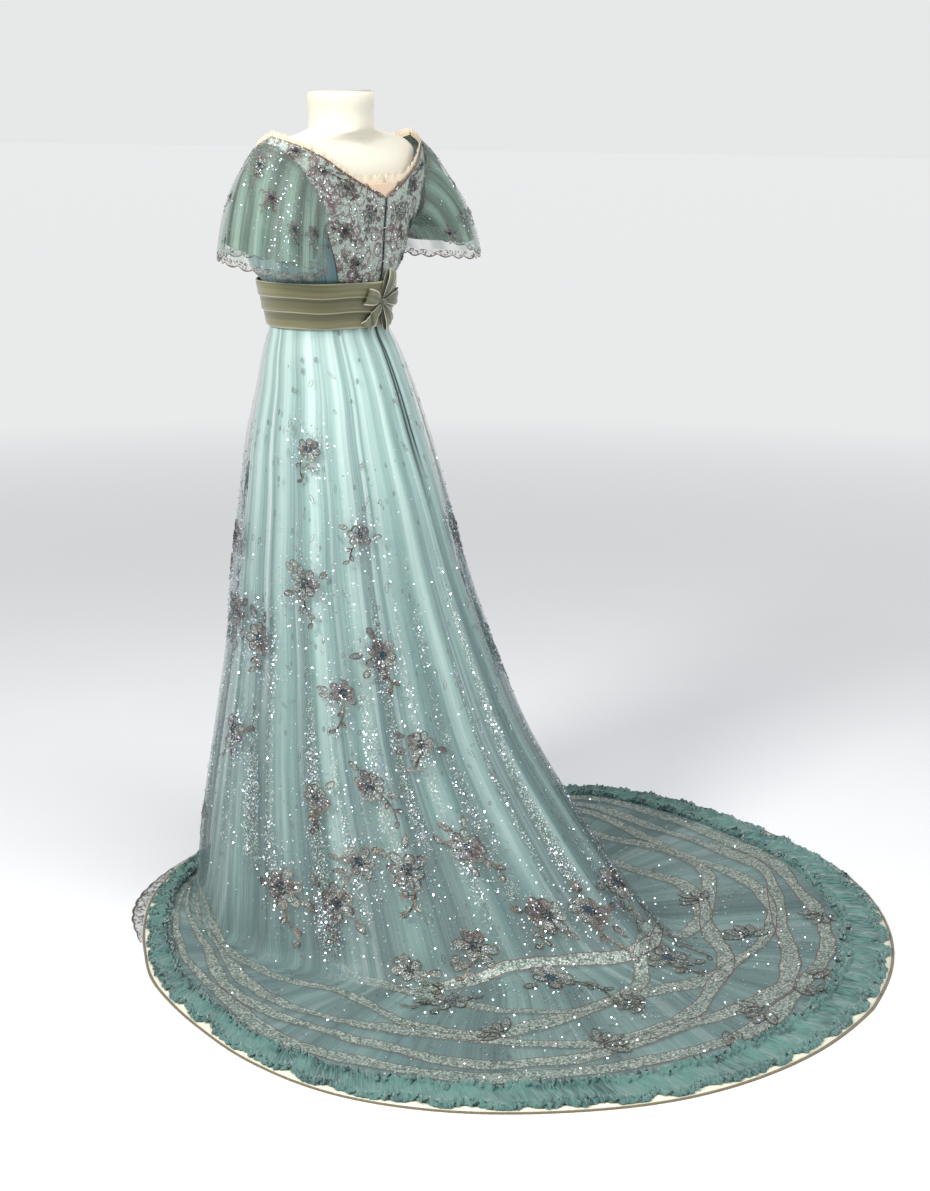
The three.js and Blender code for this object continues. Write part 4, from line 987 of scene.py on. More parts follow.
# Small single leaves strewn over the net.
strewn = Sewing(net_grid, UNDER_SKIRT)
chance = np.random.default_rng(91)
STREWN_LEAVES = 420
for _ in range(STREWN_LEAVES):
    shape = leaf(np.zeros(2), 0, chance.uniform(9, 19) * MM, chance.uniform(2, 3.4) * MM, 8)
    shape = turned_by(shape, chance.normal(0, 0.7))
    strewn.outline(chance.random() * NET_COLUMNS, chance.uniform(0.1, 1.5), shape, 0.9 * MM, 0.9 * MM)
strewn.piece("skirt_leaves", thread_metal, "skirt_net")


# ---------------------------------------------------------------- hem flounce, braid and net border
# A band of teal chiffon is sewn round the hem over the silk: a ruche of frayed double frill at its
# head, a flat gathered strip, and a second ruche at its foot. Olive brush braid guards the hem's edge.

# Share of the width, height, how far the gathers lift it, and how far they sway it to and fro.
FLOUNCE_SECTION = np.array([
    (0.00, 1.0, 0.3, 0.0), (0.01, 6.0, 2.0, 3.2), (0.03, 11.5, 3.2, 5.0), (0.06, 7.0, 1.4, 1.6),
    (0.10, 5.2, 1.0, 0.8), (0.14, 9.5, 2.2, 1.8), (0.18, 13.0, 3.4, 5.0), (0.21, 7.0, 1.8, 2.4),
    (0.25, 3.4, 1.0, 0.6), (0.40, 4.4, 1.8, 0.5), (0.60, 5.0, 2.2, 0.8), (0.76, 5.0, 2.0, 1.2),
    (0.82, 10.5, 3.2, 4.4), (0.86, 7.5, 1.8, 1.8), (0.90, 6.0, 1.4, 1.0), (0.94, 10.0, 3.0, 3.4),
    (0.98, 6.5, 3.0, 5.4), (1.00, 2.4, 1.2, 4.0)])
FLOUNCE_REST = 2.3 * MM
HEM_SHOWS = 6 * MM
FLOUNCE_COLUMNS = 2200

turn = np.arange(FLOUNCE_COLUMNS) / FLOUNCE_COLUMNS
angle = around_skirt(turn)
chance = np.random.default_rng(41)
width = flounce_width(angle) - HEM_SHOWS
ruffle = np.zeros(FLOUNCE_COLUMNS)
sway = np.zeros(FLOUNCE_COLUMNS)
for count in (311, 397, 503, 190, 96):
    share = 0.5 if count > 250 else 0.32
    ruffle += share * np.sin(2 * np.pi * (count * turn + chance.random()))
    sway += share * np.sin(2 * np.pi * ((count - 36) * turn + chance.random()))
wander = 2.2 * np.sin(2 * np.pi * (23 * turn + 0.2)) + 1.6 * np.sin(2 * np.pi * (41 * turn + 0.7))
billow = sum(size * np.sin(2 * np.pi * (count * turn + chance.random()))
             for count, size in ((53, 1), (71, 0.8), (97, 0.5)))
flounce_rows = []
for k, (share, height, lift, side) in enumerate(FLOUNCE_SECTION):
    shifted = np.roll(ruffle, 3 * k)
    loose = math.sin(math.pi * min(1, 0.15 + share))
    raised = height * (0.75 + 0.1 * wander / 2) + lift * shifted + 3.2 * loose * billow
    top = FLOUNCE_REST + np.maximum(0.4, raised) * MM
    inset = HEM_SHOWS + (1 - share) * width + (side * np.roll(sway, 2 * k) + wander * (share > 0.5)
                                               + 5 * share * np.roll(billow, 9)) * MM
    inset = np.maximum(inset, 0.6 * MM)
    flounce_rows.append(hem_point(angle, inset, top))
flounce = cloth("hem_flounce", np.stack(flounce_rows), UNDER_SKIRT, closed=True, across=4.6)

chiffon_teal, tree, shader = new_material("teal_chiffon", 0.7, Sheen_Weight=0.4)
uv = uv_map(tree)
pleats = noise(stretch(uv, (420.0, 30.0, 1.0)), 1.0, 2.0)
patch = noise(own_place(tree), 9.0, 2.0)
shade = blended(spread(patch, 0.42, 0.58), dyed(32, 70, 70), dyed(72, 112, 106))
# The fine gathers are painted paler on their crests and darker between them, as painted light and shade.
fill(shader, Base_Color=blended(spread(pleats, 0.4, 0.66), shade, dyed(88, 130, 124)))
bump(shader, pleats, 0.6, 0.002)
dress(flounce, chiffon_teal, "flounce_chiffon", "hem_flounce_back_left", "hem_flounce_front_left",
      "hem_flounce_front_right", "hem_flounce_back_right")

BRAID_WIDTH = 5 * MM
BRAID_COLUMNS = 1500
turn = np.arange(BRAID_COLUMNS) / BRAID_COLUMNS
angle = around_skirt(turn)
bristle = np.random.default_rng(7).uniform(-0.35, 0.35, (4, BRAID_COLUMNS))
braid_rows = [hem_point(angle, (-0.6 - out + 0.4 * b) * MM, (top + b) * MM) for (out, top), b in zip(
    ((0, 0.5), (0.6, 2.0), (4.2, 2.1), (5.0, 0.4)), bristle)]
braid = cloth("brush_braid", np.stack(braid_rows), UNDER_SKIRT, closed=True, across=4.6)
brush, tree, shader = new_material("olive_brush_braid", 0.85, Sheen_Weight=0.3)
uv = uv_map(tree)
hairs = noise(stretch(uv, (900.0, 60.0, 1.0)), 1.0, 2.0)
fill(shader, Base_Color=blended(hairs, dyed(70, 60, 42), dyed(140, 124, 92)))
bump(shader, hairs, 0.7, 0.001)
dress(braid, brush, "brush_braid", "brush_braid_left", "brush_braid_right")

# Lace net past the hem at the front: degrees from the centre back, and how far it spreads.
NET_BORDER = np.array([(108, 2), (116, 12), (124, 22), (136, 23), (150, 15), (165, 6), (176, 2)])
BORDER_TURNS = (25 / 72, 35 / 72)
BORDER_STEPS = 140
border_lace, tree, shader = new_material("metal_lace_net", 0.5, Metallic=0.35)
place = own_place(tree)
lines = use(curls, Coordinates=place, Size=0.008)["Mask"]
mesh_beads = use(beading, Coordinates=place, Size=0.0028)
rim = spread(attribute(tree, "rim"), 0.8, 0.86)
cover = larger(lines, rim)
fill(shader, Base_Color=blended(cover, dyed(150, 154, 146), dyed(92, 86, 74)),
     Alpha=larger(cover * 0.95, 0.3))
bump(shader, mesh_beads["Height"], 0.4, 0.001)
for name, first, last in (("left", *BORDER_TURNS), ("right", 1 - BORDER_TURNS[0], 1 - BORDER_TURNS[1])):
    turn = np.linspace(first, last, BORDER_STEPS)
    angle = around_skirt(turn)
    reach = smooth_read(NET_BORDER, 1, np.abs(np.degrees(angle)))
    scallop = np.abs(np.sin(np.linspace(0, 11 * np.pi, BORDER_STEPS))) * 3 * np.clip(reach / 20, 0, 1)
    wave = 0.8 * np.sin(np.linspace(0, 40, BORDER_STEPS))
    shares = np.linspace(0, 1, 8)
    rows = [hem_point(angle, -(BRAID_WIDTH + 1.5 * MM + share * (reach + scallop - 1.5) * MM),
                      (1.2 + wave * share * (1 - share) * 2) * MM) for share in shares]
    border = cloth(f"net_border_{name}_lace", np.stack(rows), UNDER_SKIRT, across=0.5,
                   attributes={"rim": np.repeat(shares[:, None], BORDER_STEPS, axis=1)})
    dress(border, border_lace, "skirt_net", f"net_border_{name}")


# ---------------------------------------------------------------- bodice
# Back and front panels are green silk under net that is covered with metal-thread leaves, lilac and
# silver sequins and patches of dark beads. Gathered silk fills in under each arm.

# Rows up a panel from the waist: the centre or neck edge, the side or armhole edge, and the crown.
BACK_PANEL = np.array([
    (1, 67.5, 1066.3, 72, 43.7, 1066.3, 6.5), (1, 77, 1120, 79, 46, 1122, 8),
    (1, 84, 1160, 101, 57, 1164, 12),
    (1, 88, 1215, 126, 60, 1214, 12), (1, 93, 1270, 148, 66, 1256, 9), (50, 89, 1292, 166, 62, 1290, 5),
    (111, 80, 1321, 182, 54, 1316, 3), (145, 69, 1342, 194, 45, 1335, 2), (181, 49, 1361, 206, 33, 1350, 1),
    (210, 10.5, 1377, 221, 9, 1365, 0)]) * MM
FRONT_PANEL = np.array([
    (1, -129.5, 1066.3, 72, -105.7, 1066.3, 6.5), (1, -137, 1112, 82, -104, 1116, 11),
    (1, -160, 1160, 110, -116, 1160, 16), (1, -162, 1212, 128, -104, 1212, 16),
    (1, -150, 1246, 148, -88, 1252, 12), (62, -136, 1268, 167, -73, 1286, 6),
    (118, -104, 1302, 186, -57, 1314, 3), (156, -72, 1334, 200, -41, 1336, 2),
    (190, -36, 1360, 212, -20, 1352, 1), (210, 8, 1377, 221, 6.5, 1365, 0)]) * MM
CENTRE_GAP = 1 * MM
CHEST_CENTRE = np.array((0, -29, 0)) * MM
IN_CHEST = (0, -0.03, 1.2)
MIRROR = np.array((-1, 1, 1))


def outward(points):
    """Level unit steps away from the middle of the chest."""
    away = points - CHEST_CENTRE
    away[..., 2] = 0
    return away / np.linalg.norm(away, axis=-1, keepdims=True)


def along_curve(points, share, closed=False):
    """Points at shares along an even curve through corner points."""
    points = np.asarray(points, float)
    count = len(points) if closed else len(points) - 1
    at = np.asarray(share, float) * count
    i = np.floor(at).astype(int) if closed else np.clip(np.floor(at).astype(int), 0, count - 1)
    t = (at - i)[..., None]
    if closed:
        p0, p1, p2, p3 = (points[(i + k) % count] for k in (-1, 0, 1, 2))
    else:
        padded = np.concatenate([[2 * points[0] - points[1]], points, [2 * points[-1] - points[-2]]])
        p0, p1, p2, p3 = (padded[i + k] for k in (0, 1, 2, 3))
    return 0.5 * (2 * p1 + (p2 - p0) * t + (2 * p0 - 5 * p1 + 4 * p2 - p3) * t ** 2
                  + (3 * p1 - p0 - 3 * p2 + p3) * t ** 3)


def panel_grid(panel, rows, columns):
    """A panel from the shoulder down to the waist, and from its centre edge out to its side edge."""
    share = np.linspace(1, 0, rows)
    line = along_curve(panel, share)
    near, far, crown = line[:, 0:3], line[:, 3:6], line[:, 6]
    near[:, 0] = np.maximum(CENTRE_GAP, near[:, 0])
    across = np.linspace(0, 1, columns)[None, :, None]
    return (near[:, None] * (1 - across) + far[:, None] * across
            + outward((near + far) / 2)[:, None] * crown[:, None, None] * 4 * across * (1 - across))


bodice_work, tree, shader = new_material("embroidered_bodice", 0.5)
place = own_place(tree)
leafy = use(curls, Coordinates=place, Size=0.024)["Mask"]
fern = use(curls, Coordinates=place, Size=0.008)["Mask"]
beads = use(beading, Coordinates=place, Size=0.0022)
zones = noise(place, 26.0, 2.0)
threads = use(weave, Coordinates=place, Threads=800.0, Slub=0.5)
ground = blended(threads["Shade"], dyed(142, 160, 150), dyed(188, 200, 188))
metal = blended(beads["Shade"], dyed(98, 90, 84), dyed(190, 182, 168))
mauve = blended(spread(zones, 0.46, 0.56), metal, dyed(118, 92, 96))
worked = larger(leafy * 0.95, fern * spread(zones, 0.38, 0.48, 0.1, 0.8))
with_trim = blended(attribute(tree, "trim"), blended(worked, ground, mauve), dyed(112, 86, 72))
# The back closing is a dark line of painted shade.
fill(shader, Base_Color=blended(attribute(tree, "closing_shade"), with_trim, dyed(30, 34, 44)),
     Metallic=worked * 0.5, Roughness=spread(worked, 0, 1, 0.6, 0.35))
bump(shader, worked + beads["Height"] * 0.5, 0.5, 0.0015)

BODICE_ROWS = 90
BODICE_COLUMNS = 48
# Sprays on a panel: place from its centre edge to its side edge, metres below the shoulder, radius, turn.
BODICE_SPRAYS = {
    "back": [(0.50, 0.045, 0.017, 30), (0.45, 0.105, 0.022, -25), (0.40, 0.165, 0.028, 15),
             (0.74, 0.215, 0.022, -40), (0.30, 0.240, 0.026, 25), (0.62, 0.285, 0.022, -10)],
    "front": [(0.50, 0.050, 0.018, -20), (0.48, 0.120, 0.022, 25), (0.36, 0.190, 0.028, -15),
              (0.70, 0.225, 0.024, 35), (0.34, 0.275, 0.024, 10)],
}
share_across = np.linspace(0, 1, BODICE_COLUMNS)[None, :]
for part, panel, area in (("back", BACK_PANEL, 0.033), ("front", FRONT_PANEL, 0.038)):
    left = panel_grid(panel, BODICE_ROWS, BODICE_COLUMNS)
    neckline = (left[:, :1, 0] > 4 * MM).astype(float)
    trim = np.exp(-((share_across - 0.045) / 0.06) ** 4) * neckline
    # Painted shade of the closed back opening, below the neckline of the back panels.
    closing_shade = np.exp(-(share_across / 0.022) ** 2) * (1 - neckline) * (part == "back")
    for hand, grid in (("left", left), ("right", left * MIRROR)):
        bodice = cloth(f"bodice_{part}_{hand}_cloth", grid, IN_CHEST, across=0.2, wall=1.4 * MM,
                       attributes={"sparkle": np.ones(grid.shape[:2]), "trim": trim, "closing_shade": closing_shade})
        dress(bodice, bodice_work, "bodice_net", f"bodice_{part}_{hand}")
        sewn_on(f"bodice_{part}_{hand}_sequins", bodice.data, "bodice_net", sequin, Per_Square_Metre=20000.0,
                Size=1.2 * MM, Lift=0.9 * MM, Tilt=0.5, Sides=6, Where="sparkle", Seed=5)
        sew_sprays(f"bodice_{part}_{hand}_sprays", grid, IN_CHEST, False, BODICE_SPRAYS[part],
                   np.random.default_rng(19), "bodice_net", 0.7 * MM)

# Side panels under the arms.
SIDE_CROWNS = (36, 30.4, 25, 16)
SIDE_SEAM = 1.3 * MM
side_rows = np.concatenate([
    BACK_PANEL[:4, 3:6] + (1 * MM, -SIDE_SEAM, 0), FRONT_PANEL[:4, 3:6] + (1 * MM, SIDE_SEAM, 0),
    np.array(SIDE_CROWNS)[:, None] * MM], axis=1)
side_plain = panel_grid(side_rows, 40, 120)
gather = creases(40, np.linspace(0, 1, 120), 3, 34, 0.008, 0.02, (0.8, 1.8))
side_grid = side_plain + outward(side_plain) * (np.clip(gather, 0, 1.6) * 1.2 * MM)[:, :, None]
side_silk, tree, shader = new_material("gathered_side_silk", 0.42, Sheen_Weight=0.25)
uv = uv_map(tree)
gathers = use(streaks, Coordinates=uv, Count=500.0)
# The light and shade of the gathers is painted into the silk's colour.
fill(shader, Base_Color=blended(gathers["Shade"], dyed(70, 100, 104), dyed(116, 148, 150)))
bump(shader, gathers["Height"], 0.5, 0.002)
for hand, grid in (("left", side_grid), ("right", side_grid * MIRROR)):
    side_piece = cloth(f"bodice_side_{hand}_silk", grid, (0, -0.03, 1.15), across=0.2, wall=1.2 * MM)
    dress(side_piece, side_silk, "side_silk", f"bodice_side_{hand}")


# ---------------------------------------------------------------- chemisette and neck lace
# A peach silk insert fills the foot of the back neckline. Cream cotton lace is gathered and sewn inside
# the neckline all round, and its soft edge stands above it.

CHEMISETTE = {"foot": 1260, "top": 1297, "foot_half": 10, "top_half": 46, "back": 89.4, "curve": 3.4}
down = np.linspace(0, 1, 16)[:, None]
across = np.linspace(-1, 1, 30)[None, :]
height = CHEMISETTE["top"] + (CHEMISETTE["foot"] - CHEMISETTE["top"]) * down
x = (CHEMISETTE["top_half"] + (CHEMISETTE["foot_half"] - CHEMISETTE["top_half"]) * down) * across
y = CHEMISETTE["back"] - CHEMISETTE["curve"] * (x / CHEMISETTE["top_half"]) ** 2
insert = cloth("chemisette_silk", np.stack([x, y, height + 0 * x], axis=2) * MM, (0, 0, 1.28), across=0.09,
               wall=1 * MM)
peach = plain_cloth("peach_silk", 0.5, 0.2, 0.6, (dyed(236, 212, 184), dyed(222, 192, 160)), (0.2, 0.0006))
dress(insert, peach, "cream_lace", "chemisette")

LACE_STAND = 9
LACE_FOOT = 5
LACE_INSET = 4.4
LACE_COLUMNS = 420
LACE_RISES = (LACE_STAND + 1.5, LACE_STAND - 1, 6, 4, 2, 0, -LACE_FOOT)
frill_lace, tree, shader = new_material("cream_frill_lace", 0.85, Sheen_Weight=0.3)
uv = uv_map(tree)
place = own_place(tree)
eyelets = put(tree, "ShaderNodeTexVoronoi", Vector=place, Scale=340.0)["Distance"]
fray = noise(stretch(uv, (1500.0, 110.0, 1.0)), 1.0, 2.0)
below_tip = axis_of(uv, 1) * 60.0
fill(shader, Base_Color=blended(fray, dyed(222, 198, 164), dyed(252, 242, 220)))
frayed = spread(fray + below_tip, 0.5, 0.72)
fill(shader, Alpha=frayed * spread(eyelets + fray, 0.45, 0.7, 0.4, 1.0))
bump(shader, fray, 0.6, 0.0008)
chance = np.random.default_rng(29)
for part, panel, lowest in (("back", BACK_PANEL, (1297 + LACE_FOOT + 0.3) * MM), ("front", FRONT_PANEL, 0)):
    share = np.linspace(0.46, 1, LACE_COLUMNS)
    line = along_curve(panel, share)[:, 0:3]
    away = outward(line)
    ruffles = sum(np.sin(share * chance.uniform(90, 330) + chance.random() * 6) for _ in range(4)) / 2
    line[:, 0] = np.maximum(CENTRE_GAP, line[:, 0])
    base = np.maximum(line[:, 2], lowest)
    rows = []
    for rise in LACE_RISES:
        wave = 1.5 * max(0, rise) / LACE_STAND
        jag = chance.uniform(-2.6, 1.6, LACE_COLUMNS) if rise > LACE_STAND else 0
        row = line + away * ((-LACE_INSET + wave * ruffles) * MM)[:, None]
        row[:, 2] = base + (rise + jag) * MM
        rows.append(row)
    frill = np.stack(rows)
    for hand, grid in (("left", frill), ("right", frill * MIRROR)):
        piece = cloth(f"neck_lace_{part}_{hand}_frill", grid, (0, -0.03, 1.33), across=0.3)
        dress(piece, frill_lace, "cream_lace", f"neck_lace_{part}_{hand}")


# ---------------------------------------------------------------- sleeves
# Each sleeve is a short puff of green chiffon gathered into the armhole under a wider one of sheer net
# with sequins, edged with scalloped metal lace.

ARMHOLE = np.array([(223.4, 8, 1367.5), (197.4, 48.2, 1337), (168.5, 65.5, 1290), (143.5, 68.5, 1238),
                    (150, -20, 1219), (144, -96, 1238), (170, -77, 1288), (203, -44, 1339)]) * MM
SLEEVE_HEM = np.array([(326, 22, 1186), (305, 92, 1170), (246, 120, 1166), (184, 96, 1172),
                       (158, 30, 1176), (182, -36, 1188), (240, -60, 1196), (300, -38, 1194)]) * MM
ARM_CENTRE = np.array((186, -6, 1296)) * MM
HEM_CENTRE = np.array((241, 29, 1180)) * MM
SLEEVE_PUFF = 0.55
SLEEVE_GATHERS = 10
SLEEVE_COLUMNS = 240
SLEEVE_ROWS = 30


def sleeve_grid(armhole, hem, rise, gather, seed, fine):
    """A sleeve that runs out over the arm first and then down, with gathers that deepen downwards."""
    around = np.arange(SLEEVE_COLUMNS) / SLEEVE_COLUMNS
    down = np.linspace(0, 1, SLEEVE_ROWS)[:, None]
    top = (along_curve(ARMHOLE, around, closed=True) - ARM_CENTRE) * armhole + ARM_CENTRE
    foot = (along_curve(SLEEVE_HEM, around, closed=True) - HEM_CENTRE) * hem + HEM_CENTRE
    foot[:, 2] += rise
    out = down * (1 - SLEEVE_PUFF) + np.sin(down * np.pi / 2) * SLEEVE_PUFF
    fall = down * (1 - SLEEVE_PUFF) + (1 - np.cos(down * np.pi / 2)) * SLEEVE_PUFF
    share = np.stack([out, out, fall], axis=2)
    grid = top[None] * (1 - share) + foot[None] * share
    axis = (ARM_CENTRE * (1 - down) + HEM_CENTRE * down)[:, None]
    away = grid - axis
    away /= np.linalg.norm(away, axis=2, keepdims=True)
    crest = -np.cos(around * SLEEVE_GATHERS * 2 * np.pi)[None, :] * gather * np.minimum(1, 0.35 + down)
    wrinkles = creases(SLEEVE_ROWS, around, seed, 70, 0.004, 0.016, (0.5, 1.6)) - 0.6
    broad = creases(SLEEVE_ROWS, around, seed + 9, 14, 0.014, 0.03, (0.7, 1.6)) - 0.5
    relief = crest + fine * (wrinkles * (0.4 + down) + 2.6 * broad * down)
    # The second value is how deep each place lies in a trough, for painted shade.
    return grid + away * (relief * MM)[:, :, None], np.clip(0.5 - relief / 7, 0, 1)


net_sleeve_grid, net_troughs = sleeve_grid(1.013, 1.0, 0, 2.6, 51, 0.9)
chiffon_grid, chiffon_troughs = sleeve_grid(0.983, 0.84, 14 * MM, 3.2, 52, 1.2)

sleeve_net, tree, shader = new_material("sheer_sleeve_net", 0.6)
uv = uv_map(tree)
place = own_place(tree)
gathers = use(streaks, Coordinates=uv, Count=150.0)
lines = use(curls, Coordinates=place, Size=0.007)["Mask"]
banding = spread(lines, 0, 1, 0.4, 1.0) * attribute(tree, "banding")
# The light and shade of the gathers is painted into the net's colour.
base = blended(gathers["Shade"], dyed(88, 112, 102), dyed(156, 174, 162))
fill(shader, Base_Color=blended(banding, base, dyed(88, 70, 66)))
# The net is painted thicker in its troughs, which paints shade there.
sheer = spread(gathers["Shade"], 0, 1, 0.12, 0.3) + spread(attribute(tree, "trough"), 0.4, 0.9, 0, 0.3)
fill(shader, Alpha=larger(sheer, banding * 0.9))
bump(shader, gathers["Height"], 0.4, 0.002)

sleeve_chiffon, tree, shader = new_material("green_chiffon", 0.55, Sheen_Weight=0.3)
uv = uv_map(tree)
gathers = use(streaks, Coordinates=uv, Count=120.0)
# The light and shade of the gathers is painted, and the troughs are painted darker, as painted shade.
lit = blended(gathers["Shade"], dyed(74, 106, 92), dyed(150, 182, 166))
fill(shader, Base_Color=blended(spread(attribute(tree, "trough"), 0.35, 0.8), lit, dyed(44, 74, 64)),
     Alpha=spread(gathers["Shade"], 0, 1, 0.94, 0.8))
bump(shader, gathers["Height"], 0.5, 0.003)

down = np.linspace(0, 1, SLEEVE_ROWS)[:, None]
around = (np.arange(SLEEVE_COLUMNS) / SLEEVE_COLUMNS)[None, :]
over_shoulder = np.exp(-(nearest(around) / 0.11) ** 2) * np.clip(1.5 - down * 2.4, 0, 1)
banding = np.clip(over_shoulder + np.clip(1 - down * 9, 0, 1), 0, 1)
sleeve_sparkle = 0.2 + 2.6 * over_shoulder + 2.2 * np.exp(-(((around - 0.13) / 0.04) ** 2)) * (down > 0.25)
SCALLOPS = 20
# Place round the sleeve from the shoulder by the back, metres below the armhole, radius and turn.
SLEEVE_SPRAYS = [(0.02, 0.05, 0.016, 10), (0.08, 0.10, 0.018, -20), (0.16, 0.13, 0.017, 30),
                 (0.24, 0.10, 0.016, 0), (0.34, 0.07, 0.014, 15), (0.66, 0.08, 0.015, -15),
                 (0.78, 0.12, 0.017, 20), (0.90, 0.09, 0.016, -30)]
for hand, sense in (("left", 1), ("right", -1)):
    turned = np.array((sense, 1, 1))
    inside = (0.24 * sense, 0.03, 1.24)
    inner = cloth(f"chiffon_sleeve_{hand}_puff", chiffon_grid * turned, inside, closed=True, across=1.0,
                  attributes={"trough": chiffon_troughs})
    dress(inner, sleeve_chiffon, "sleeve_chiffon", f"chiffon_sleeve_{hand}")
    outer = cloth(f"net_sleeve_{hand}_sheer", net_sleeve_grid * turned, inside, closed=True, across=1.0,
                  attributes={"banding": banding, "sparkle": sleeve_sparkle, "trough": net_troughs})
    dress(outer, sleeve_net, "skirt_net", f"net_sleeve_{hand}")
    "bodice_back_" + hand
    sewn_on(f"sleeve_sequins_{hand}", outer.data, "skirt_net", sequin, Per_Square_Metre=6500.0,
            Size=1.3 * MM, Lift=0.9 * MM, Tilt=0.5, Sides=6, Where="sparkle", Seed=8)
    sew_sprays(f"sleeve_sprays_{hand}", net_sleeve_grid * turned, inside, True, SLEEVE_SPRAYS,
               np.random.default_rng(33), "skirt_net", 0.9 * MM)
    hem_line = net_sleeve_grid[-1] * turned
    scallop = 5 * np.abs(np.sin(np.arange(SLEEVE_COLUMNS) / SLEEVE_COLUMNS * SCALLOPS * np.pi))
    shares = np.linspace(0, 1, 7)
    rows = [hem_line - np.stack([0 * scallop, 0 * scallop, (0.3 + share * (9 + scallop))], axis=1) * MM
            for share in shares]
    edging = cloth(f"sleeve_lace_{hand}_edging", np.stack(rows), inside, closed=True, across=0.6,
                   attributes={"rim": np.repeat(shares[:, None], SLEEVE_COLUMNS, axis=1)})
    dress(edging, border_lace, "sleeve_lace", f"sleeve_lace_{hand}_back", f"sleeve_lace_{hand}_front")


# ---------------------------------------------------------------- sash and bow
# Olive satin is laid round the waist in three folds, each with a pale turned edge. It closes at the
# centre back under a knot with four loops and a short gathered tail.

SASH_FOOT = np.array((1052, 112.2, 101.2, -31)) * MM
SASH_TOP = np.array((1131, 124, 119, -35.5)) * MM
# Share of the height and how far the satin stands out, from the top fold down.
SASH_FOLDS = np.array([(1.0, 2.0), (0.985, 3.4), (0.9, 4.0), (0.75, 4.9), (0.685, 5.8), (0.67, 5.2),
                       (0.655, 3.4), (0.6, 3.6), (0.45, 4.7), (0.365, 5.8), (0.35, 5.2), (0.335, 3.4),
                       (0.28, 3.6), (0.12, 4.4), (0.02, 4.6), (0.0, 3.2)])
SASH_CREST = 5.8 * MM
SASH_COLUMNS = 288
turn = np.linspace(0, 2 * np.pi, SASH_COLUMNS, endpoint=False)
chance = np.random.default_rng(61)
droop = sum(chance.uniform(0.2, 0.6) * np.sin(k * turn + chance.random() * 6) for k in range(2, 9))
sash_rows = []
for k, (up, out) in enumerate(SASH_FOLDS):
    height, side, depth, centre = SASH_FOOT + (SASH_TOP - SASH_FOOT) * up
    off = out * MM
    level = height + droop * 0.8 * MM * (0 < up < 1)
    sash_rows.append(np.stack([(side + off) * np.sin(turn), centre + (depth + off) * np.cos(turn),
                               level + 0 * turn], axis=1))
turned_edge = [abs(up - 0.675) < 0.015 or abs(up - 0.355) < 0.015 or up < 0.03 or up > 0.98
               for up in SASH_FOLDS[:, 0]]
# Rows just below the turned edges, where painted shade falls under each fold.
under_fold_shade = [abs(up - 0.63) < 0.04 or abs(up - 0.31) < 0.04 for up in SASH_FOLDS[:, 0]]
sash = cloth("sash_folds", np.stack(sash_rows), (0, -0.03, 1.09), closed=True, across=0.75, wall=1.2 * MM,
             attributes={"edge": np.repeat(np.array(turned_edge)[:, None], SASH_COLUMNS, axis=1),
                         "under": np.repeat(np.array(under_fold_shade)[:, None], SASH_COLUMNS, axis=1)})
olive, tree, shader = new_material("olive_satin", 0.42, Sheen_Weight=0.35)
uv = uv_map(tree)
threads = use(weave, Coordinates=uv, Threads=1000.0, Slub=0.7)
drawn = use(streaks, Coordinates=put(tree, "ShaderNodeMapping", Vector=uv,
                                     Rotation=(0.0, 0.0, math.pi / 2))[0], Count=130.0)
# The light and shade of the drawn folds is painted from the streaks, and painted shade darkens the satin
# under each fold.
plain = blended(drawn["Shade"], dyed(74, 74, 46), dyed(128, 124, 88))
base = blended(attribute(tree, "under") * 0.5, plain, dyed(40, 40, 26))
fill(shader, Base_Color=blended(spread(attribute(tree, "edge"), 0.8, 1.0), base, dyed(164, 158, 128)))
bump(shader, threads["Height"], 0.25, 0.001)
dress(sash, olive, "sash_satin", "sash")

KNOT = np.array((7, 89, 1096)) * MM
KNOT_RADIUS = 6 * MM
# Side view of a loop: distance from the knot, height off the sash and half width.
LOOP_PATH = np.array([(0.2, 5, 1.6), (8, 9, 7), (17, 11.5, 10.5), (25, 9.5, 12), (27.5, 5.5, 12),
                      (24, 1.8, 11.5), (13, 0.5, 8.5), (3, 0.5, 2.5)]) * MM
# Each loop's turn from straight up towards the wearer's right, its length and its width.
LOOPS = {"up": (18, 1.8, 1.1), "right": (84, 1.7, 1.25), "low": (146, 1.75, 1.15), "left": (286, 1.25, 1.2)}


def bow_points(turn, away, across, off):
    """Places points of the bow: out from the knot, across the ribbon and off the back of the sash."""
    reach = KNOT_RADIUS + away
    x = KNOT[0] - reach * np.sin(turn) - across * np.cos(turn)
    height = KNOT[2] + reach * np.cos(turn) - across * np.sin(turn)
    up = (height - SASH_FOOT[0]) / (SASH_TOP[0] - SASH_FOOT[0])
    side, depth, centre = ((SASH_FOOT[k] + (SASH_TOP[k] - SASH_FOOT[k]) * up) for k in (1, 2, 3))
    back = centre + (depth + SASH_CREST) * np.sqrt(1 - (x / (side + SASH_CREST)) ** 2)
    return np.stack([x, back + 0.6 * MM + off, height], axis=-1)


bow_satin, tree, shader = new_material("bow_satin", 0.36, Sheen_Weight=0.35)
uv = uv_map(tree)
threads = use(weave, Coordinates=uv, Threads=1000.0, Slub=0.7)
pale = spread(attribute(tree, "selvedge"), 0.84, 0.9)
base = blended(threads["Shade"], dyed(92, 94, 66), dyed(134, 134, 104))
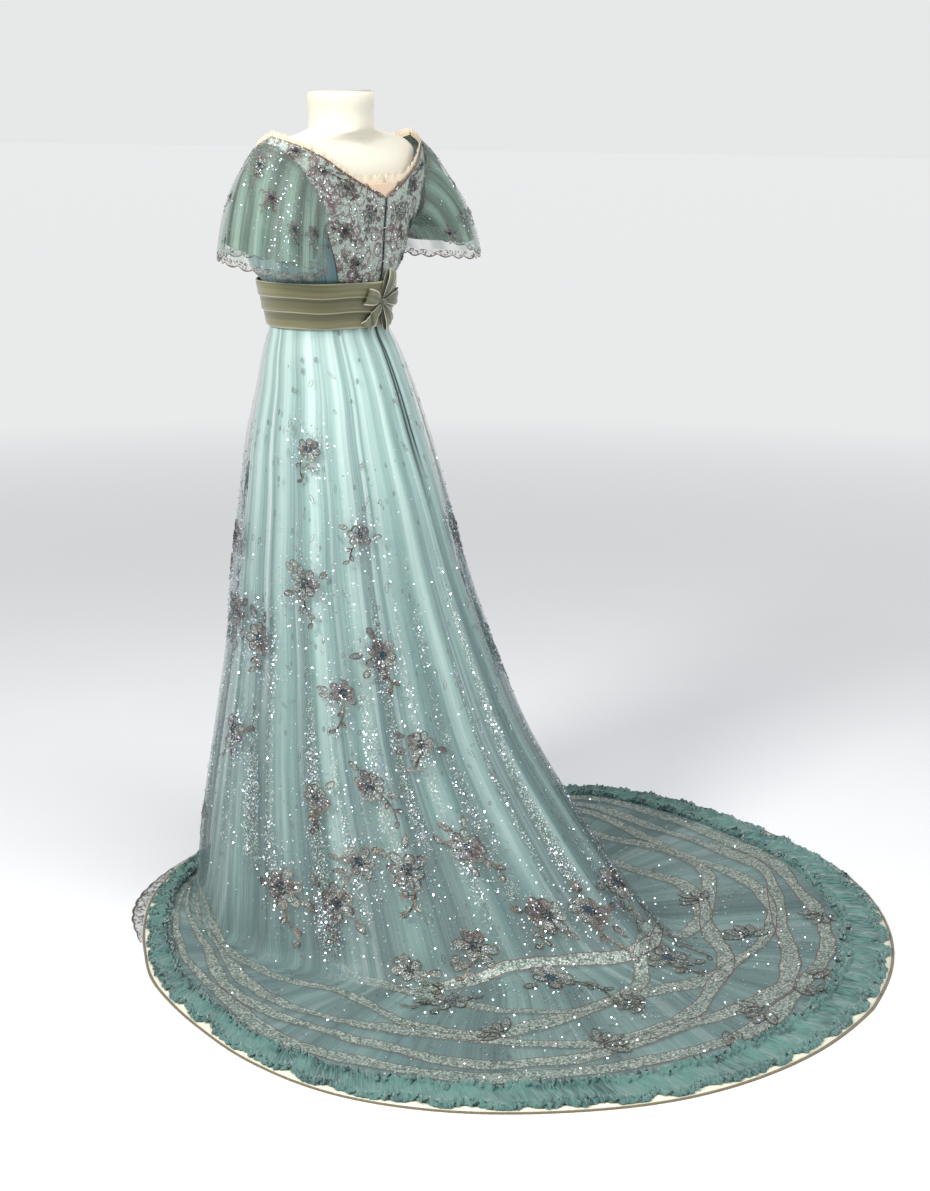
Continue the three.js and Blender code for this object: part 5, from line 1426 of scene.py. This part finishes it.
# Painted shade darkens the loops next to the knot, the hollows of the tail's ripples and the knot itself.
base = blended(attribute(tree, "bow_shade"), base, dyed(24, 24, 15))
fill(shader, Base_Color=blended(pale, base, dyed(206, 204, 184)))
bump(shader, threads["Height"], 0.2, 0.001)
sides = np.linspace(-1, 1, 17)[None, :]
path = along_curve(LOOP_PATH, np.linspace(0, 1, 40))
away, off, half = path[:, 0:1], path[:, 1:2], path[:, 2:3]
# Painted shade, deepest next to the knot.
bow_shade = np.clip(np.exp(-away / (13 * MM)) * (1.3 - 0.7 * np.abs(np.sin(4 * sides))), 0, 1)
for name, (degrees, long, wide) in LOOPS.items():
    turn = math.radians(degrees)
    fold = 0.7 * np.cos(sides * 7 + degrees) * np.minimum(1, away / (12 * MM))
    grid, lowest = (bow_points(turn, away * long + 0 * sides, sides * half * wide, height)
                    for height in (off + (fold - 0.9 * sides ** 2) * MM, 0.2 * MM))
    grid[:, :, 1] = np.maximum(grid[:, :, 1], lowest[:, :, 1])
    loop = cloth(f"bow_loop_{name}_ribbon", grid, tuple(bow_points(turn, 15 * MM * long, 0.0, 5 * MM)),
                 across=0.03, attributes={"selvedge": np.abs(sides) + 0 * away, "bow_shade": bow_shade})
    dress(loop, bow_satin, "sash_satin", f"bow_loop_{name}")
    0.024 * wide
    0.0011 * long * wide

TAIL_TURN = math.radians(214)
TAIL_LONG = 46 * MM
TAIL_HALF = 14 * MM
TAIL_HALF_AT_KNOT = 2 * MM
down = np.linspace(0, 1, 40)[:, None]
ripple = (2 * np.sin(12 * down + 2.85 * (sides + 1)) + 1.2 * np.sin(26 * down + 5 * sides)) * down
tail_half = TAIL_HALF_AT_KNOT + (TAIL_HALF - TAIL_HALF_AT_KNOT) * np.sqrt(down)
tail_grid = bow_points(TAIL_TURN, 0.2 * MM + TAIL_LONG * down + 0 * sides, sides * tail_half,
                       (5.6 - 2.2 * down + ripple) * MM)
# Painted shade lies in the hollows of the tail's ripples and fades down the tail.
tail = cloth("bow_tail_ribbon", tail_grid, (0.01, 0, 1.09), across=0.02,
             attributes={"selvedge": np.abs(sides) + 0 * down,
                         "bow_shade": np.clip(0.35 - 0.3 * ripple, 0, 1) * (1 - 0.6 * down)})
dress(tail, bow_satin, "sash_satin", "bow_tail")

KNOT_ROWS = 22
KNOT_COLUMNS = 40
turn = np.linspace(0, 2 * np.pi, KNOT_COLUMNS, endpoint=False)
knot_rows = []
for up in np.linspace(-1, 1, KNOT_ROWS):
    girth = KNOT_RADIUS * np.sqrt(max(0.02, 1 - up ** 2))
    pinch = 1 - 0.10 * np.cos(5 * turn + up)
    knot_rows.append(np.stack([KNOT[0] + girth * pinch * np.sin(turn),
                               KNOT[1] + 0.9 * girth * pinch * np.cos(turn),
                               KNOT[2] + KNOT_RADIUS * up + 0 * turn], axis=1))
# The knot is painted a little darker all over, as painted shade.
knot = cloth("bow_knot_satin", np.stack(knot_rows), tuple(KNOT), closed=True, across=0.03, cap=True,
             attributes={"selvedge": np.zeros((KNOT_ROWS, KNOT_COLUMNS)),
                         "bow_shade": np.full((KNOT_ROWS, KNOT_COLUMNS), 0.25)})
dress(knot, bow_satin, "sash_satin", "bow_knot")
